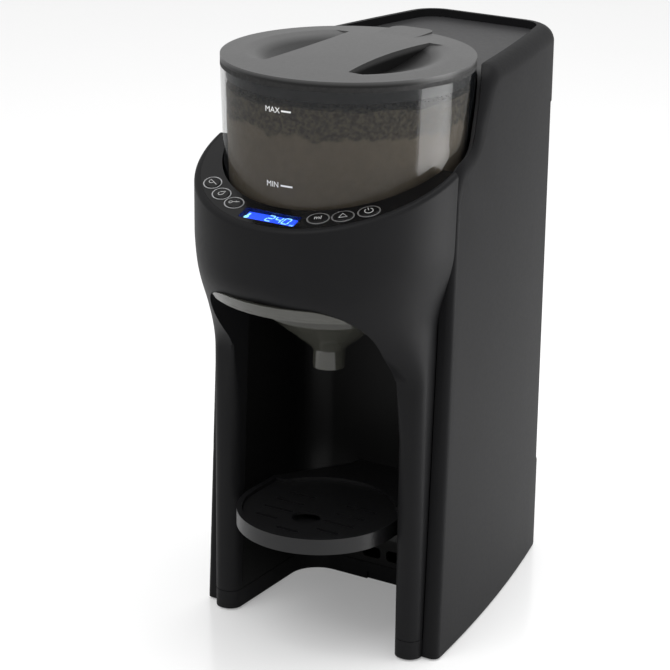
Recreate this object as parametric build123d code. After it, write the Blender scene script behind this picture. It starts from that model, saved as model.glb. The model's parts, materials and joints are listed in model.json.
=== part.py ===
"""A baby formula maker: powder container and gear drive over a mixing funnel, with a water tank behind.

Every solid is drawn about the powder container's axis: +X to the right, +Y to the rear, +Z up,
with the table at z = 0. At the end everything is shifted along Y, so that the origin lies on the
table under the middle of the whole machine. All sizes are in millimetres and degrees.
"""
from build123d import *
import math
import os

# ---------------------------------------------------------------- driving dimensions
# Head and legs, one moulding that bulges round the container and runs down into two legs.
HEAD_RADIUS = 84.0
HEAD_CENTRE_Y = -13.0
HOUSING_WALL = 2.5
HOUSING_REAR_Y = 10.0
LEG_SETBACK = 9.0
LEG_WIDTH = 17.2
LEG_FRONT_Y = -36.5
LEG_NOSE_RADIUS = 8.0
NOSE_FADE_TOP_Z = 182.0
NOSE_FADE = 40.0
NOSE_END_RADIUS = 0.6
HEAD_EDGE_RADIUS = 3.2
FLANK_TOP_Z = 262.0
FLANK_BOTTOM_Z = 212.0
BROW_TOP_Z = 246.0
BROW_BOTTOM_Z = 176.0
SWEEP_STEPS = 15
SWEEP_LEAD = 2.0

# Bottle bay between the legs.
BAY_BACK_Y = 52.0
BAY_TOP_Z = 234.0
BAY_ARCH_RADIUS = 30.0
BAY_BACK_RADIUS = 20.0

# Tilted control panel, a plane that passes this height on the container's axis.
PANEL_AXIS_Z = 312.05
PANEL_TILT = 18.12
PANEL_BORDER = 3.6
PANEL_GAP = 0.6
PANEL_THICKNESS = 2.5
PANEL_LEDGE = 2.0
PANEL_LEDGE_WIDTH = 1.1

# Side and rear shell: its sides are shallow arcs that draw in towards the rear.
SHELL_WALL = 3.0
SHELL_REAR_Y = 180.0
SHELL_FRONT_Y = -27.5
SEAM_LEAN = 0.045
SHELL_OUTSET = 1.6
SHELL_TAPER_IN = 28.8
SHELL_TAPER_REACH = 30.0
SHELL_SIDE_RADIUS = 1250.0
SHELL_REAR_RADIUS = 27.0
SHELL_FRONT_RADIUS = 4.5
SHELL_MIN_RADIUS = 1.0

# The shell's rim: rolled over outside, sunk cover inside, swept down in front. Places along Y and drops.
RIM_ROLL = 10.0
RIM_WIDTH = 11.5
RIM_SEAT = 1.5
RIM_SINK = 5.0
RIM_OVERHANG = 12.0
RIM_CURVE = [(-36.0, 102.5), (-24.0, 78.5), (-16.0, 62.5), (-11.0, 53.5), (-4.0, 46.5), (6.0, 43.0),
             (13.0, 38.5), (18.5, 28.5), (27.0, 14.5), (33.0, 6.2), (41.0, 1.4), (52.0, 0.0)]
COVER_THICKNESS = 2.5
COVER_BELOW_RIM = 110.0

# Base band, feet and the gaps that show as lines between the shells.
FOOT_HEIGHT = 1.2
FOOT_RADIUS = 5.0
BASE_TOP_Z = 13.0
BASE_FLOOR = 3.0
NOTCH_HALF_WIDTH = 12.0
NOTCH_TOP_Z = 6.5
PARTING = 0.4

# Powder container and its lid.
CONTAINER_TOP_Z = 358.5
CONTAINER_BOTTOM_Z = 259.0
CONTAINER_SETBACK = 8.0
CONTAINER_DRAFT = 3.6
CONTAINER_WALL = 2.5
LID_OVERLAP = 0.0
LID_RISE = 6.1
LID_RIM_THICKNESS = 3.4
LID_PLUG_DEPTH = 10.0
LID_DOME = 2.2
GRIP_HALF_WIDTH = 28.3
GRIP_HALF_LENGTH = 46.7
GRIP_WAIST = 3.0
SCOOP_REACH = 60.0
SCOOP_DEPTH = 9.0
TAB_HALF_WIDTH = 14.0
TAB_REACH = 80.5

# Container seat and drive.
WELL_FIT = 0.4
WELL_WALL = 2.0
WELL_FRONT_STEP = 1.0
WELL_FRONT_WALL = 1.2
WELL_FLOOR = 3.0
DECK_THICKNESS = 3.0
CHUTE_Y = -46.0
CHUTE_RADIUS = 8.0
CHUTE_WALL = 1.8
CHUTE_BOTTOM_Z = 231.0
WHEEL_FIT = 1.9
WHEEL_THICKNESS = 8.0
WHEEL_POCKETS = 6
STIRRER_STEP = 2.0
STIRRER_PADDLE = 26.0
SHAFT_RADIUS = 5.0
RUNNING_FIT = 0.05
GEAR_MODULE = 1.5
GEAR_WIDTH = 7.0
DRIVE_TEETH = 32
IDLER_TEETH = 24
PINION_TEETH = 20
GEAR_HEADROOM = 3.0
GEAR_PLATE = 2.5
GEAR_PLATE_WIDTH = 68.0
GEAR_PLATE_REACH = 14.0
GEAR_POST_RADIUS = 3.0
GEAR_POST_INSET = 4.5
MOTOR_RADIUS = 18.0
MOTOR_LENGTH = 46.0

# Mixing funnel and its cover.
FUNNEL_Y = -18.0
SPOUT_RADIUS = 10.0
SPOUT_BOTTOM_Z = 174.0
SPOUT_TOP_Z = 187.0
FUNNEL_RIM_RADIUS = 40.0
FUNNEL_CONE_TOP_Z = 210.5
FUNNEL_RIM_Z = 223.0
FUNNEL_WALL = 2.0
COVER_HALF_WIDTH = 43.6
COVER_REAR_Y = 27.0
COVER_BOTTOM_Z = 226.5
LIP_SETBACK = 2.0
LIP_SLOPE = 5.4
LIP_BOTTOM_Z = 225.0
RAIL_HALF_GAP = 40.8
RAIL_THICKNESS = 2.8
RAIL_LENGTH = 89.0
NOZZLE_X = 29.0
NOZZLE_Y = -28.0
NOZZLE_RADIUS = 3.0
NOZZLE_WALL = 2.0

# Bottle tray, hung on the bay's back wall at one of three heights.
TRAY_Y = -28.0
TRAY_RADIUS = 51.0
TRAY_RECESS_RADIUS = 47.6
TRAY_TOP_Z = 84.0
TRAY_DEPTH = 10.0
TRAY_FLOOR = 2.0
TRAY_NECK_HALF = 20.0
TRAY_PLATE = 7.0
TRAY_PLATE_DROP = 48.0
GRILLE_SINK = 2.0
GRILLE_THICKNESS = 1.8
GRILLE_HOLE_RADIUS = 9.0
GRILLE_HOLE_Y = -42.5
SLOT_LENGTH = 21.0
SLOT_WIDTH = 2.6
SLOT_INNER_X = 11.5
SLOT_ROWS_Y = [-53.5, -40.0, -26.8, -13.6]
HOOK_LEVELS_Z = [21.0, 48.5, 76.0]
HOOK_X = 9.0
HOOK_HALF_WIDTH = 6.0
HOOK_HALF_HEIGHT = 3.0
HOOK_REACH = 4.0
HOOK_CLEARANCE = 0.8

# Water tank, drawn out of the rear.
TANK_LENGTH = 64.0
TANK_WRAP = 20.0
TANK_BOTTOM_Z = 62.0
TANK_TOP_GAP = 4.8
TANK_HALF_WIDTH = 47.0
TANK_WALL = 2.5
TANK_INSET = 1.0
TANK_HOUSE_TOP_Z = 310.2
FILLER_HALF_WIDTH = 25.0
FILLER_LENGTH = 28.0
FILLER_BEHIND_FRONT = 8.0
FILLER_EDGE = 3.0
FILLER_RIB = 1.2
FILLER_FIT = 0.15
GRIP_WIDTH = 56.0
GRIP_HEIGHT = 28.0
GRIP_DEPTH = 7.5
GRIP_Z = 251.5
BULKHEAD = 2.0
BULKHEAD_GAP = 2.0
PORT_Z = 76.0
PORT_RADIUS = 6.0
PORT_BORE = 4.0
PORT_REACH = 6.0
STEM_RADIUS = 1.5
SPRING_WIRE = 0.3
VALVE_SEAT = 4.0
DOCK_WALL = 2.5
DOCK_TAIL = 4.0
SEAL_THICKNESS = 1.5

# Buttons and display, on circles about the container's axis.
BUTTON_ANGLES = [-40.2, -30.0, -20.2, 20.2, 30.0, 40.2]
BUTTON_NAMES = ["scoop", "water", "temperature", "volume", "start", "power"]
BUTTON_INSET = 0.7
BUTTON_LENGTH = 11.8
BUTTON_WIDTH = 9.4
BUTTON_RISE = 0.8
BUTTON_TRAVEL = 0.8
BUTTON_CLEARANCE = 0.3
BUTTON_STEM_RADIUS = 1.8
BUTTON_FLANGE = 0.5
BUTTON_EDGE_RADIUS = 0.5
RING_WIDTH = 0.6
RING_RISE = 0.3
SWITCH_LENGTH = 6.0
SWITCH_WIDTH = 4.6
SWITCH_HEIGHT = 3.4
DISPLAY_LENGTH = 38.0
DISPLAY_WIDTH = 10.0
DISPLAY_CORNER = 1.0
DISPLAY_OFFSET = 0.5
BOARD_DEPTH = 10.6
BOARD_REACH = 0.4
BOARD_THICKNESS = 1.6

# Water path, electrics and fixings.
PUMP_X = -40.0
SERVICE_Y = 72.0
PUMP_RADIUS = 14.0
PUMP_TOP_Z = 56.0
PRESSURE_Z = 22.0
HEATER_X = 45.0
HEATER_RADIUS = 13.0
HEATER_BOTTOM_Z = 60.0
HEATER_TOP_Z = 170.0
TUBE_RADIUS = 3.0
TUBE_BEND = 9.0
MAIN_BOARD_LEFT_X = -46.0
MAIN_BOARD_WIDTH = 70.0
MAIN_BOARD_BOTTOM_Z = 100.0
MAIN_BOARD_HEIGHT = 80.0
RELAY_WIDTH = 20.0
RELAY_HEIGHT = 26.0
RELAY_DEPTH = 14.0
CAPACITOR_RADIUS = 6.0
CAPACITOR_LENGTH = 12.0
CHIP_WIDTH = 20.0
CHIP_HEIGHT = 12.0
CHIP_DEPTH = 5.0
INLET_HALF_WIDTH = 14.0
INLET_HALF_HEIGHT = 11.0
INLET_DEPTH = 24.0
INLET_Z = 30.0
SCREW_RADIUS = 1.5
SCREW_HEAD_RADIUS = 2.8
SCREW_HEAD_HEIGHT = 2.0
SCREW_LENGTH = 20.0
SCREW_BOSS_RADIUS = 4.0
BOSS_TOP_Z = 28.0
SCREW_FRONT_Y = 4.0
SCREW_REAR_X = 46.0
SCREW_REAR_INSET = 42.0
FOOT_FRONT_Y = -20.0
FOOT_REAR_X = 38.0
FOOT_REAR_INSET = 22.0

# ---------------------------------------------------------------- derived places
SPAN = 400.0
FRONT_Y = HEAD_CENTRE_Y - HEAD_RADIUS
SHIFT_Y = -(FRONT_Y + SHELL_REAR_Y) / 2
LEG_HALF_WIDTH = HEAD_RADIUS - LEG_SETBACK
LEG_MIDDLE_X = LEG_HALF_WIDTH - LEG_WIDTH / 2
BAY_HALF_WIDTH = LEG_HALF_WIDTH - LEG_WIDTH
SHELL_TOP_Z = CONTAINER_TOP_Z
SHELL_HALF_FRONT = HEAD_RADIUS + SHELL_OUTSET
SHELL_HALF_REAR = SHELL_HALF_FRONT - SHELL_TAPER_IN
CONTAINER_TOP_RADIUS = HEAD_RADIUS - CONTAINER_SETBACK
CONTAINER_BOTTOM_RADIUS = CONTAINER_TOP_RADIUS - CONTAINER_DRAFT
LID_RADIUS = CONTAINER_TOP_RADIUS + LID_OVERLAP
LID_RIM_Z = CONTAINER_TOP_Z + LID_RISE
WELL_RADIUS = CONTAINER_TOP_RADIUS + WELL_FIT
WELL_FRONT_RADIUS = WELL_RADIUS - WELL_FRONT_STEP
WHEEL_RADIUS = CONTAINER_BOTTOM_RADIUS - CONTAINER_WALL - WHEEL_FIT
STIRRER_RADIUS = WHEEL_RADIUS - STIRRER_STEP
PANEL_RADIUS = HEAD_RADIUS - PANEL_BORDER
PANEL_INNER_RADIUS = WELL_FRONT_RADIUS - PANEL_GAP
PANEL_MIDDLE = (PANEL_INNER_RADIUS + PANEL_RADIUS - HEAD_CENTRE_Y) / 2
BUTTON_CIRCLE = PANEL_MIDDLE - BUTTON_INSET
DISPLAY_CIRCLE = PANEL_MIDDLE + DISPLAY_OFFSET
LIP_TOP_RADIUS = HEAD_RADIUS - LIP_SETBACK
LIP_BOTTOM_RADIUS = LIP_TOP_RADIUS - LIP_SLOPE
TANK_FRONT_Y = SHELL_REAR_Y - TANK_LENGTH
TANK_WRAP_Y = SHELL_REAR_Y - TANK_WRAP
TANK_TOP_Z = TANK_HOUSE_TOP_Z - TANK_TOP_GAP
FILLER_FRONT_Y = TANK_FRONT_Y + FILLER_BEHIND_FRONT
FILLER_REAR_Y = FILLER_FRONT_Y + FILLER_LENGTH
BULKHEAD_Y = TANK_FRONT_Y - BULKHEAD - BULKHEAD_GAP
SCREW_PLACES = [(-LEG_MIDDLE_X, SCREW_FRONT_Y), (LEG_MIDDLE_X, SCREW_FRONT_Y),
                (-SCREW_REAR_X, SHELL_REAR_Y - SCREW_REAR_INSET), (SCREW_REAR_X, SHELL_REAR_Y - SCREW_REAR_INSET)]
FOOT_PLACES = [(-LEG_MIDDLE_X, FOOT_FRONT_Y), (LEG_MIDDLE_X, FOOT_FRONT_Y),
               (-FOOT_REAR_X, SHELL_REAR_Y - FOOT_REAR_INSET), (FOOT_REAR_X, SHELL_REAR_Y - FOOT_REAR_INSET)]
TILT = math.radians(PANEL_TILT)
PANEL_PLANE = Plane(origin=(0, 0, PANEL_AXIS_Z), x_dir=(1, 0, 0),
                    z_dir=(0, -math.sin(TILT), math.cos(TILT)))
WELL_BOTTOM_Z = CONTAINER_BOTTOM_Z - WELL_FLOOR
DECK_BOTTOM_Z = WELL_BOTTOM_Z - DECK_THICKNESS
GEAR_TOP_Z = DECK_BOTTOM_Z - GEAR_HEADROOM
GEAR_BOTTOM_Z = GEAR_TOP_Z - GEAR_WIDTH
GEAR_PLATE_TOP_Z = GEAR_BOTTOM_Z - GEAR_HEADROOM / 2
GEAR_PLATE_Z = GEAR_PLATE_TOP_Z - GEAR_PLATE
IDLER_Y = GEAR_MODULE * (DRIVE_TEETH + IDLER_TEETH) / 2
MOTOR_Y = IDLER_Y + GEAR_MODULE * (IDLER_TEETH + PINION_TEETH) / 2
WHEEL_BOTTOM_Z = CONTAINER_BOTTOM_Z + CONTAINER_WALL + 0.7
STIRRER_BOTTOM_Z = WHEEL_BOTTOM_Z + WHEEL_THICKNESS + 0.4
SHAFT_TOP_Z = STIRRER_BOTTOM_Z + 9.0
BASE_FLOOR_Z = FOOT_HEIGHT + BASE_FLOOR
SEAT_Y = TANK_FRONT_Y + TANK_WALL + VALVE_SEAT
DOCK_FRONT_Y = TANK_FRONT_Y - PORT_REACH - DOCK_WALL - 1.0
DOCK_RADIUS = PORT_RADIUS + SEAL_THICKNESS + DOCK_WALL
TUBE_Z = (DECK_BOTTOM_Z + BAY_TOP_Z + HOUSING_WALL) / 2


# ---------------------------------------------------------------- shape helpers
def block(x0, x1, y0, y1, z0, z1):
    """A box between two corners."""
    centre = ((x0 + x1) / 2, (y0 + y1) / 2, (z0 + z1) / 2)
    return Pos(*centre) * Box(x1 - x0, y1 - y0, z1 - z0)


def drum(radius, z0, z1, x=0.0, y=0.0):
    """An upright cylinder between two heights."""
    return Pos(x, y, (z0 + z1) / 2) * Cylinder(radius, z1 - z0)


def rod_y(radius, y0, y1, x, z):
    """A cylinder along Y between two places."""
    return Pos(x, (y0 + y1) / 2, z) * Rot(90, 0, 0) * Cylinder(radius, y1 - y0)


def ring(outer, inner, z0, z1, x=0.0, y=0.0):
    """An upright tube between two heights."""
    return drum(outer, z0, z1, x, y) - drum(inner, z0 - 1, z1 + 1, x, y)


def side_prism(points, half_width):
    """A polygon in the YZ plane, drawn out to both sides."""
    face = make_face(Polyline(*points, close=True))
    return extrude(Plane.YZ * face, half_width, both=True)


def plan_prism(face, z0, z1):
    """A face drawn in plan, raised between two heights."""
    return extrude(Pos(0, 0, z0) * face, z1 - z0)


def turned(points, y):
    """A solid turned about an upright axis at y, from (radius, height) points."""
    face = make_face(Polyline(*points, close=True))
    return Pos(0, y, 0) * revolve(Plane.XZ * face, Axis.Z)


def smooth(value):
    """An S-shaped step from 0 to 1."""
    t = min(max(value, 0.0), 1.0)
    return t * t * (3 - 2 * t)


def blend(a, b, t):
    """The value that lies t of the way from a to b."""
    return a + (b - a) * t


def seam_y(z):
    """Where the shell's front edge lies at a height."""
    return SHELL_FRONT_Y + SEAM_LEAN * z


def behind_seam(gap):
    """Everything behind the slanted seam plane, less a gap."""
    return side_prism([(seam_y(-50) + gap, -50), (SPAN, -50), (SPAN, SPAN), (seam_y(SPAN) + gap, SPAN)], SPAN)


def panel_slab(top, bottom):
    """The space between two depths under the panel's plane."""
    return PANEL_PLANE * Pos(0, 0, -(top + bottom) / 2) * Box(SPAN, SPAN, bottom - top)


def panel_place(radius, angle, depth=0.0):
    """A place on the panel, on a circle in plan at an angle from the front, turned to face outwards."""
    x = radius * math.sin(math.radians(angle))
    y = -radius * math.cos(math.radians(angle))
    return PANEL_PLANE * Pos(x, y / math.cos(TILT), -depth) * Rot(0, 0, angle)


# ---------------------------------------------------------------- main outlines
def housing_section(z, inset):
    """The head's and legs' outline at a height: round at the head, square with small noses at the legs."""
    flank = smooth((FLANK_TOP_Z - z) / (FLANK_TOP_Z - FLANK_BOTTOM_Z))
    brow = smooth((BROW_TOP_Z - z) / (BROW_TOP_Z - BROW_BOTTOM_Z))
    half = blend(HEAD_RADIUS, LEG_HALF_WIDTH, flank) - inset
    front = blend(FRONT_Y, LEG_FRONT_Y, brow) + inset
    corner = blend(half - 0.5, LEG_NOSE_RADIUS - inset, brow)
    rear = HOUSING_REAR_Y
    edges = [
        Line((-half, rear), (-half, front + corner)),
        CenterArc((-half + corner, front + corner), corner, 180, 90),
        Line((-half + corner, front), (half - corner, front)),
        CenterArc((half - corner, front + corner), corner, 270, 90),
        Line((half, front + corner), (half, rear)),
        Line((half, rear), (-half, rear)),
    ]
    return Pos(0, 0, z) * make_face(edges)


def housing_volume(inset, bottom):
    """The head and legs as a solid block, from a height up to well over the panel."""
    low = BROW_BOTTOM_Z - 2 * SWEEP_LEAD
    high = FLANK_TOP_Z + 2 * SWEEP_LEAD
    start = low + SWEEP_LEAD
    run = high - low - 2 * SWEEP_LEAD
    heights = [start + run * step / SWEEP_STEPS for step in range(SWEEP_STEPS + 1)]
    sweep = loft([housing_section(z, inset) for z in [low] + heights + [high]])
    legs = extrude(housing_section(bottom, inset), low - bottom)
    head = extrude(housing_section(high, inset), SPAN - high)
    return legs + sweep + head


def shell_section(z, inset, overhang=0.0):
    """The side and rear shell's outline at a height; with an overhang in front its front corners stay sharp."""
    chord_x = SHELL_HALF_REAR - SHELL_HALF_FRONT
    chord_y = SHELL_REAR_Y - SHELL_TAPER_REACH - SHELL_FRONT_Y
    chord = math.hypot(chord_x, chord_y)
    sink = math.sqrt(SHELL_SIDE_RADIUS ** 2 - chord ** 2 / 4) / chord
    centre_x = (SHELL_HALF_FRONT + SHELL_HALF_REAR) / 2 - chord_y * sink
    centre_y = SHELL_FRONT_Y + chord_y / 2 + chord_x * sink
    radius = SHELL_SIDE_RADIUS - inset
    front = seam_y(z) + inset - overhang
    rear = SHELL_REAR_Y - inset

    def half(y):
        return centre_x + math.sqrt(radius ** 2 - (y - centre_y) ** 2)

    middle = (front + rear) / 2
    outline = make_face([
        Line((-half(front), front), (half(front), front)),
        ThreePointArc((half(front), front), (half(middle), middle), (half(rear), rear)),
        Line((half(rear), rear), (-half(rear), rear)),
        ThreePointArc((-half(rear), rear), (-half(middle), middle), (-half(front), front)),
    ])
    outline = fillet(outline.vertices().sort_by(Axis.Y)[-2:], SHELL_REAR_RADIUS - inset)
    if overhang == 0:
        corner = max(SHELL_FRONT_RADIUS - inset, SHELL_MIN_RADIUS)
        outline = fillet(outline.vertices().sort_by(Axis.Y)[:2], corner)
    return Pos(0, 0, z) * outline


def shell_volume(inset, bottom=0.0, top=SHELL_TOP_Z, overhang=0.0):
    """The side and rear shell's outside as a solid block."""
    return loft([shell_section(bottom, inset, overhang), shell_section(top, inset, overhang)], ruled=True)


def rim_profile(drop, top):
    """The side view of everything over the swept rim, lowered by a drop."""
    curve = [(y, SHELL_TOP_Z - fall - drop) for y, fall in RIM_CURVE]
    flat = curve[-1][1]
    rise = (curve[1][0] - curve[0][0], curve[1][1] - curve[0][1])
    outline = [
        Spline(*curve, tangents=[rise, (1, 0)]),
        Line(curve[-1], (SPAN, flat)),
        Line((SPAN, flat), (SPAN, top)),
        Line((SPAN, top), (-SPAN, top)),
        Line((-SPAN, top), (-SPAN, curve[0][1])),
        Line((-SPAN, curve[0][1]), curve[0]),
    ]
    return extrude(Plane.YZ * make_face(outline), SPAN, both=True)


def rolled_shell(inset, drop, bottom):
    """The shell's block, or a parallel smaller one, cut to the rim and rolled over along its top edge."""
    block_top = SHELL_TOP_Z + RIM_SINK
    body = shell_volume(inset, bottom, block_top, RIM_OVERHANG) - rim_profile(drop, SPAN)
    rear = SHELL_REAR_Y - inset
    crest = [edge for edge in body.edges() if edge.bounding_box().min.Z > bottom + 1
             and (abs(edge.center().X) > HEAD_RADIUS / 2 or edge.center().Y > rear - 1)]
    return fillet(crest, RIM_ROLL - inset) & behind_seam(inset)


def bay_space(margin):
    """The bottle bay: an arch seen from the front, with rounded corners at the back in plan."""
    half = BAY_HALF_WIDTH + margin
    top = BAY_TOP_Z + margin
    radius = BAY_ARCH_RADIUS + margin
    arch = make_face([
        Line((-half, -20), (-half, top - radius)),
        CenterArc((-half + radius, top - radius), radius, 90, 90),
        Line((-half + radius, top), (half - radius, top)),
        CenterArc((half - radius, top - radius), radius, 0, 90),
        Line((half, top - radius), (half, -20)),
        Line((half, -20), (-half, -20)),
    ])
    tunnel = extrude(Plane.XZ * arch, SPAN, both=True)
    plan = Pos(0, (BAY_BACK_Y + margin - SPAN) / 2) * Rectangle(2 * half, BAY_BACK_Y + margin + SPAN)
    plan = fillet(plan.vertices().sort_by(Axis.Y)[-2:], BAY_BACK_RADIUS + margin)
    return tunnel & plan_prism(plan, -20, SPAN)


def nose_relief(margin):
    """What rounds the legs' inner front corners, fading out under the arch."""
    edge_x = BAY_HALF_WIDTH + margin
    edge_y = LEG_FRONT_Y + margin

    def corner(z, radius):
        outline = make_face([
            Line((edge_x - 1, edge_y - 1), (edge_x + radius, edge_y - 1)),
            Line((edge_x + radius, edge_y - 1), (edge_x + radius, edge_y)),
            CenterArc((edge_x + radius, edge_y + radius), radius, 270, -90),
            Line((edge_x, edge_y + radius), (edge_x - 1, edge_y + radius)),
            Line((edge_x - 1, edge_y + radius), (edge_x - 1, edge_y - 1)),
        ])
        return Pos(0, 0, z) * outline

    radius = LEG_NOSE_RADIUS - margin
    right = extrude(corner(0, radius), NOSE_FADE_TOP_Z - NOSE_FADE)
    right += loft([corner(NOSE_FADE_TOP_Z - NOSE_FADE, radius), corner(NOSE_FADE_TOP_Z, NOSE_END_RADIUS)])
    return right + right.mirror(Plane.YZ)


def hook_bar(x, z, grow, y0, y1):
    """A rounded bar along Y, the shape of the tray's hooks and, grown, of their slots."""
    width = 2 * (HOOK_HALF_WIDTH + grow)
    height = 2 * (HOOK_HALF_HEIGHT + grow)
    outline = RectangleRounded(width, height, 0.9 * HOOK_HALF_HEIGHT)
    return Pos(x, (y0 + y1) / 2, z) * extrude(Plane.XZ * outline, (y1 - y0) / 2, both=True)


def gear(teeth, bore, y, phase):
    """A spur gear with straight-flanked teeth, turned by a phase in degrees."""
    pitch_radius = GEAR_MODULE * teeth / 2
    pitch_angle = 360 / teeth
    tip = pitch_radius + 0.75 * GEAR_MODULE
    root = pitch_radius - 1.1 * GEAR_MODULE
    points = []
    for tooth in range(teeth):
        middle = phase + tooth * pitch_angle
        for radius, offset in ((root, -0.27), (tip, -0.11), (tip, 0.11), (root, 0.27)):
            angle = math.radians(middle + offset * pitch_angle)
            points.append((radius * math.cos(angle), radius * math.sin(angle)))
    blank = plan_prism(make_face(Polyline(*points, close=True)), GEAR_BOTTOM_Z, GEAR_TOP_Z)
    return Pos(0, y, 0) * blank - drum(bore, GEAR_BOTTOM_Z - 1, GEAR_TOP_Z + 1, 0, y)


# ---------------------------------------------------------------- shells
def make_front_housing():
    """The head and both legs, hollow, open behind the seam, with the bay cut through."""
    bottom = BASE_TOP_Z + PARTING
    skin = PANEL_THICKNESS + PANEL_LEDGE
    outside = housing_volume(0, bottom) & panel_slab(0, SPAN)
    top_face = outside.faces().sort_by(Axis.Z)[-1]
    outside = fillet(top_face.edges().sort_by(Axis.Y)[:-1], HEAD_EDGE_RADIUS)
    inside = housing_volume(HOUSING_WALL, bottom - 1) & panel_slab(skin, SPAN)
    body = outside - (inside - bay_space(HOUSING_WALL) - nose_relief(HOUSING_WALL)) - bay_space(0) - nose_relief(0)
    body -= behind_seam(-PARTING)
    seat = drum(PANEL_RADIUS + 0.1, DECK_BOTTOM_Z, SPAN, 0, HEAD_CENTRE_Y) & panel_slab(0, PANEL_THICKNESS)
    opening = drum(PANEL_RADIUS - PANEL_LEDGE_WIDTH, DECK_BOTTOM_Z, SPAN, 0, HEAD_CENTRE_Y) & panel_slab(0, skin + 1)
    body = body - seat - opening
    body -= drum(CHUTE_RADIUS + CHUTE_WALL, BAY_TOP_Z - 10, BAY_TOP_Z + 10, 0, CHUTE_Y)
    body -= drum(NOZZLE_RADIUS + NOZZLE_WALL, BAY_TOP_Z - 10, BAY_TOP_Z + 10, NOZZLE_X, NOZZLE_Y)
    return body


def make_bay_liner():
    """The bay's side walls, ceiling and back wall behind the seam, with the tray's hook slots."""
    body = (bay_space(HOUSING_WALL) - bay_space(0)) & behind_seam(0)
    body -= block(-SPAN, SPAN, -SPAN, SPAN, -50, BASE_TOP_Z + PARTING)
    body -= drum(NOZZLE_RADIUS + NOZZLE_WALL, BAY_TOP_Z - 10, BAY_TOP_Z + 10, NOZZLE_X, NOZZLE_Y)
    for z in HOOK_LEVELS_Z:
        for x in (-HOOK_X, HOOK_X):
            body -= hook_bar(x, z, HOOK_CLEARANCE, BAY_BACK_Y - 5, BAY_BACK_Y + 10)
    return body


def make_base_trim():
    """The bottom band and floor: a low U-shaped tray under the legs and the rear."""
    legs = extrude(housing_section(FOOT_HEIGHT, 0), BASE_TOP_Z - FOOT_HEIGHT)
    rear = shell_volume(SHELL_WALL + RUNNING_FIT, FOOT_HEIGHT, BASE_TOP_Z)
    outer = legs + rear - bay_space(0) - nose_relief(0)
    inner_legs = extrude(housing_section(BASE_FLOOR_Z, HOUSING_WALL), BASE_TOP_Z)
    inner_rear = shell_volume(SHELL_WALL + HOUSING_WALL, BASE_FLOOR_Z, BASE_TOP_Z + 5)
    pocket = (inner_legs + inner_rear) - bay_space(HOUSING_WALL) - nose_relief(HOUSING_WALL)
    body = outer - pocket
    body -= block(-NOTCH_HALF_WIDTH, NOTCH_HALF_WIDTH, BAY_BACK_Y - 5, BAY_BACK_Y + HOUSING_WALL - 1,
                  0, NOTCH_TOP_Z)
    for x, y in SCREW_PLACES:
        body += drum(SCREW_BOSS_RADIUS, BASE_FLOOR_Z, BASE_TOP_Z, x, y)
        body -= drum(SCREW_HEAD_RADIUS + 0.2, 0, FOOT_HEIGHT + SCREW_HEAD_HEIGHT, x, y)
        body -= drum(SCREW_RADIUS, 0, BASE_TOP_Z + 1, x, y)
    return body


def make_outer_shell():
    """Both sides and the rear in one moulding, open in front, at the tank and under the top cover."""
    body = rolled_shell(0, 0, FOOT_HEIGHT)
    middle_y = (seam_y(FOOT_HEIGHT) + seam_y(SHELL_TOP_Z)) / 2
    upright = [edge for edge in body.edges() if edge.bounding_box().min.Z < FOOT_HEIGHT + 1
               and edge.length > SHELL_TOP_Z / 2 and edge.center().Y < middle_y + RIM_ROLL]
    body = fillet(upright, SHELL_FRONT_RADIUS)
    body -= rolled_shell(SHELL_WALL, RIM_SINK, FOOT_HEIGHT - 1)
    body -= shell_volume(RIM_WIDTH, SHELL_TOP_Z - COVER_BELOW_RIM, SHELL_TOP_Z + RIM_SINK)
    leg_gap = LEG_HALF_WIDTH + PARTING
    well_gap = WELL_RADIUS + WELL_WALL + 2.0
    openings = block(-leg_gap, leg_gap, -SPAN, SPAN, -10, SPAN)
    openings += block(-well_gap, well_gap, -SPAN, SPAN, DECK_BOTTOM_Z, SPAN)
    body -= openings - behind_seam(SHELL_WALL + 0.2)
    body -= drum(WELL_RADIUS + WELL_WALL + PARTING, DECK_BOTTOM_Z, SPAN)
    body -= block(-SPAN, SPAN, TANK_WRAP_Y, SPAN, TANK_BOTTOM_Z - PARTING, TANK_HOUSE_TOP_Z)
    body -= block(-INLET_HALF_WIDTH, INLET_HALF_WIDTH, BULKHEAD_Y, SPAN, INLET_Z - INLET_HALF_HEIGHT,
                  INLET_Z + INLET_HALF_HEIGHT)
    wall_zone = shell_volume(SHELL_WALL - 0.5, 0, 2 * BOSS_TOP_Z)
    for x, y in SCREW_PLACES:
        reach = math.copysign(SPAN, x)
        rib = block(min(x, reach), max(x, reach), y - 1.25, y + 1.25, BASE_TOP_Z, BOSS_TOP_Z) & wall_zone
        body += drum(SCREW_BOSS_RADIUS, BASE_TOP_Z, BOSS_TOP_Z, x, y) + rib
        body -= drum(SCREW_RADIUS, 0, BOSS_TOP_Z - 3, x, y)
    return body


def make_top_cover():
    """The sunk cover, seated under the rim's inner edge and swept down beside the container."""
    lowest = SHELL_TOP_Z - COVER_BELOW_RIM
    sheet = rim_profile(RIM_SINK + COVER_THICKNESS, SPAN) - rim_profile(RIM_SINK, SPAN + 1)
    sheet &= shell_volume(RIM_WIDTH - RIM_SEAT, lowest) + drum(WELL_RADIUS + WELL_WALL, lowest, SPAN)
    front_y = seam_y(SHELL_TOP_Z) + 1
    return sheet - drum(WELL_RADIUS, 0, SPAN) - block(-SPAN, SPAN, -SPAN, front_y, 0, SPAN)


# ---------------------------------------------------------------- container, lid and wheels
def container_radius(z):
    """The container's outer radius at a height."""
    share = (z - CONTAINER_BOTTOM_Z) / (CONTAINER_TOP_Z - CONTAINER_BOTTOM_Z)
    return blend(CONTAINER_BOTTOM_RADIUS, CONTAINER_TOP_RADIUS, share)


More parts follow.
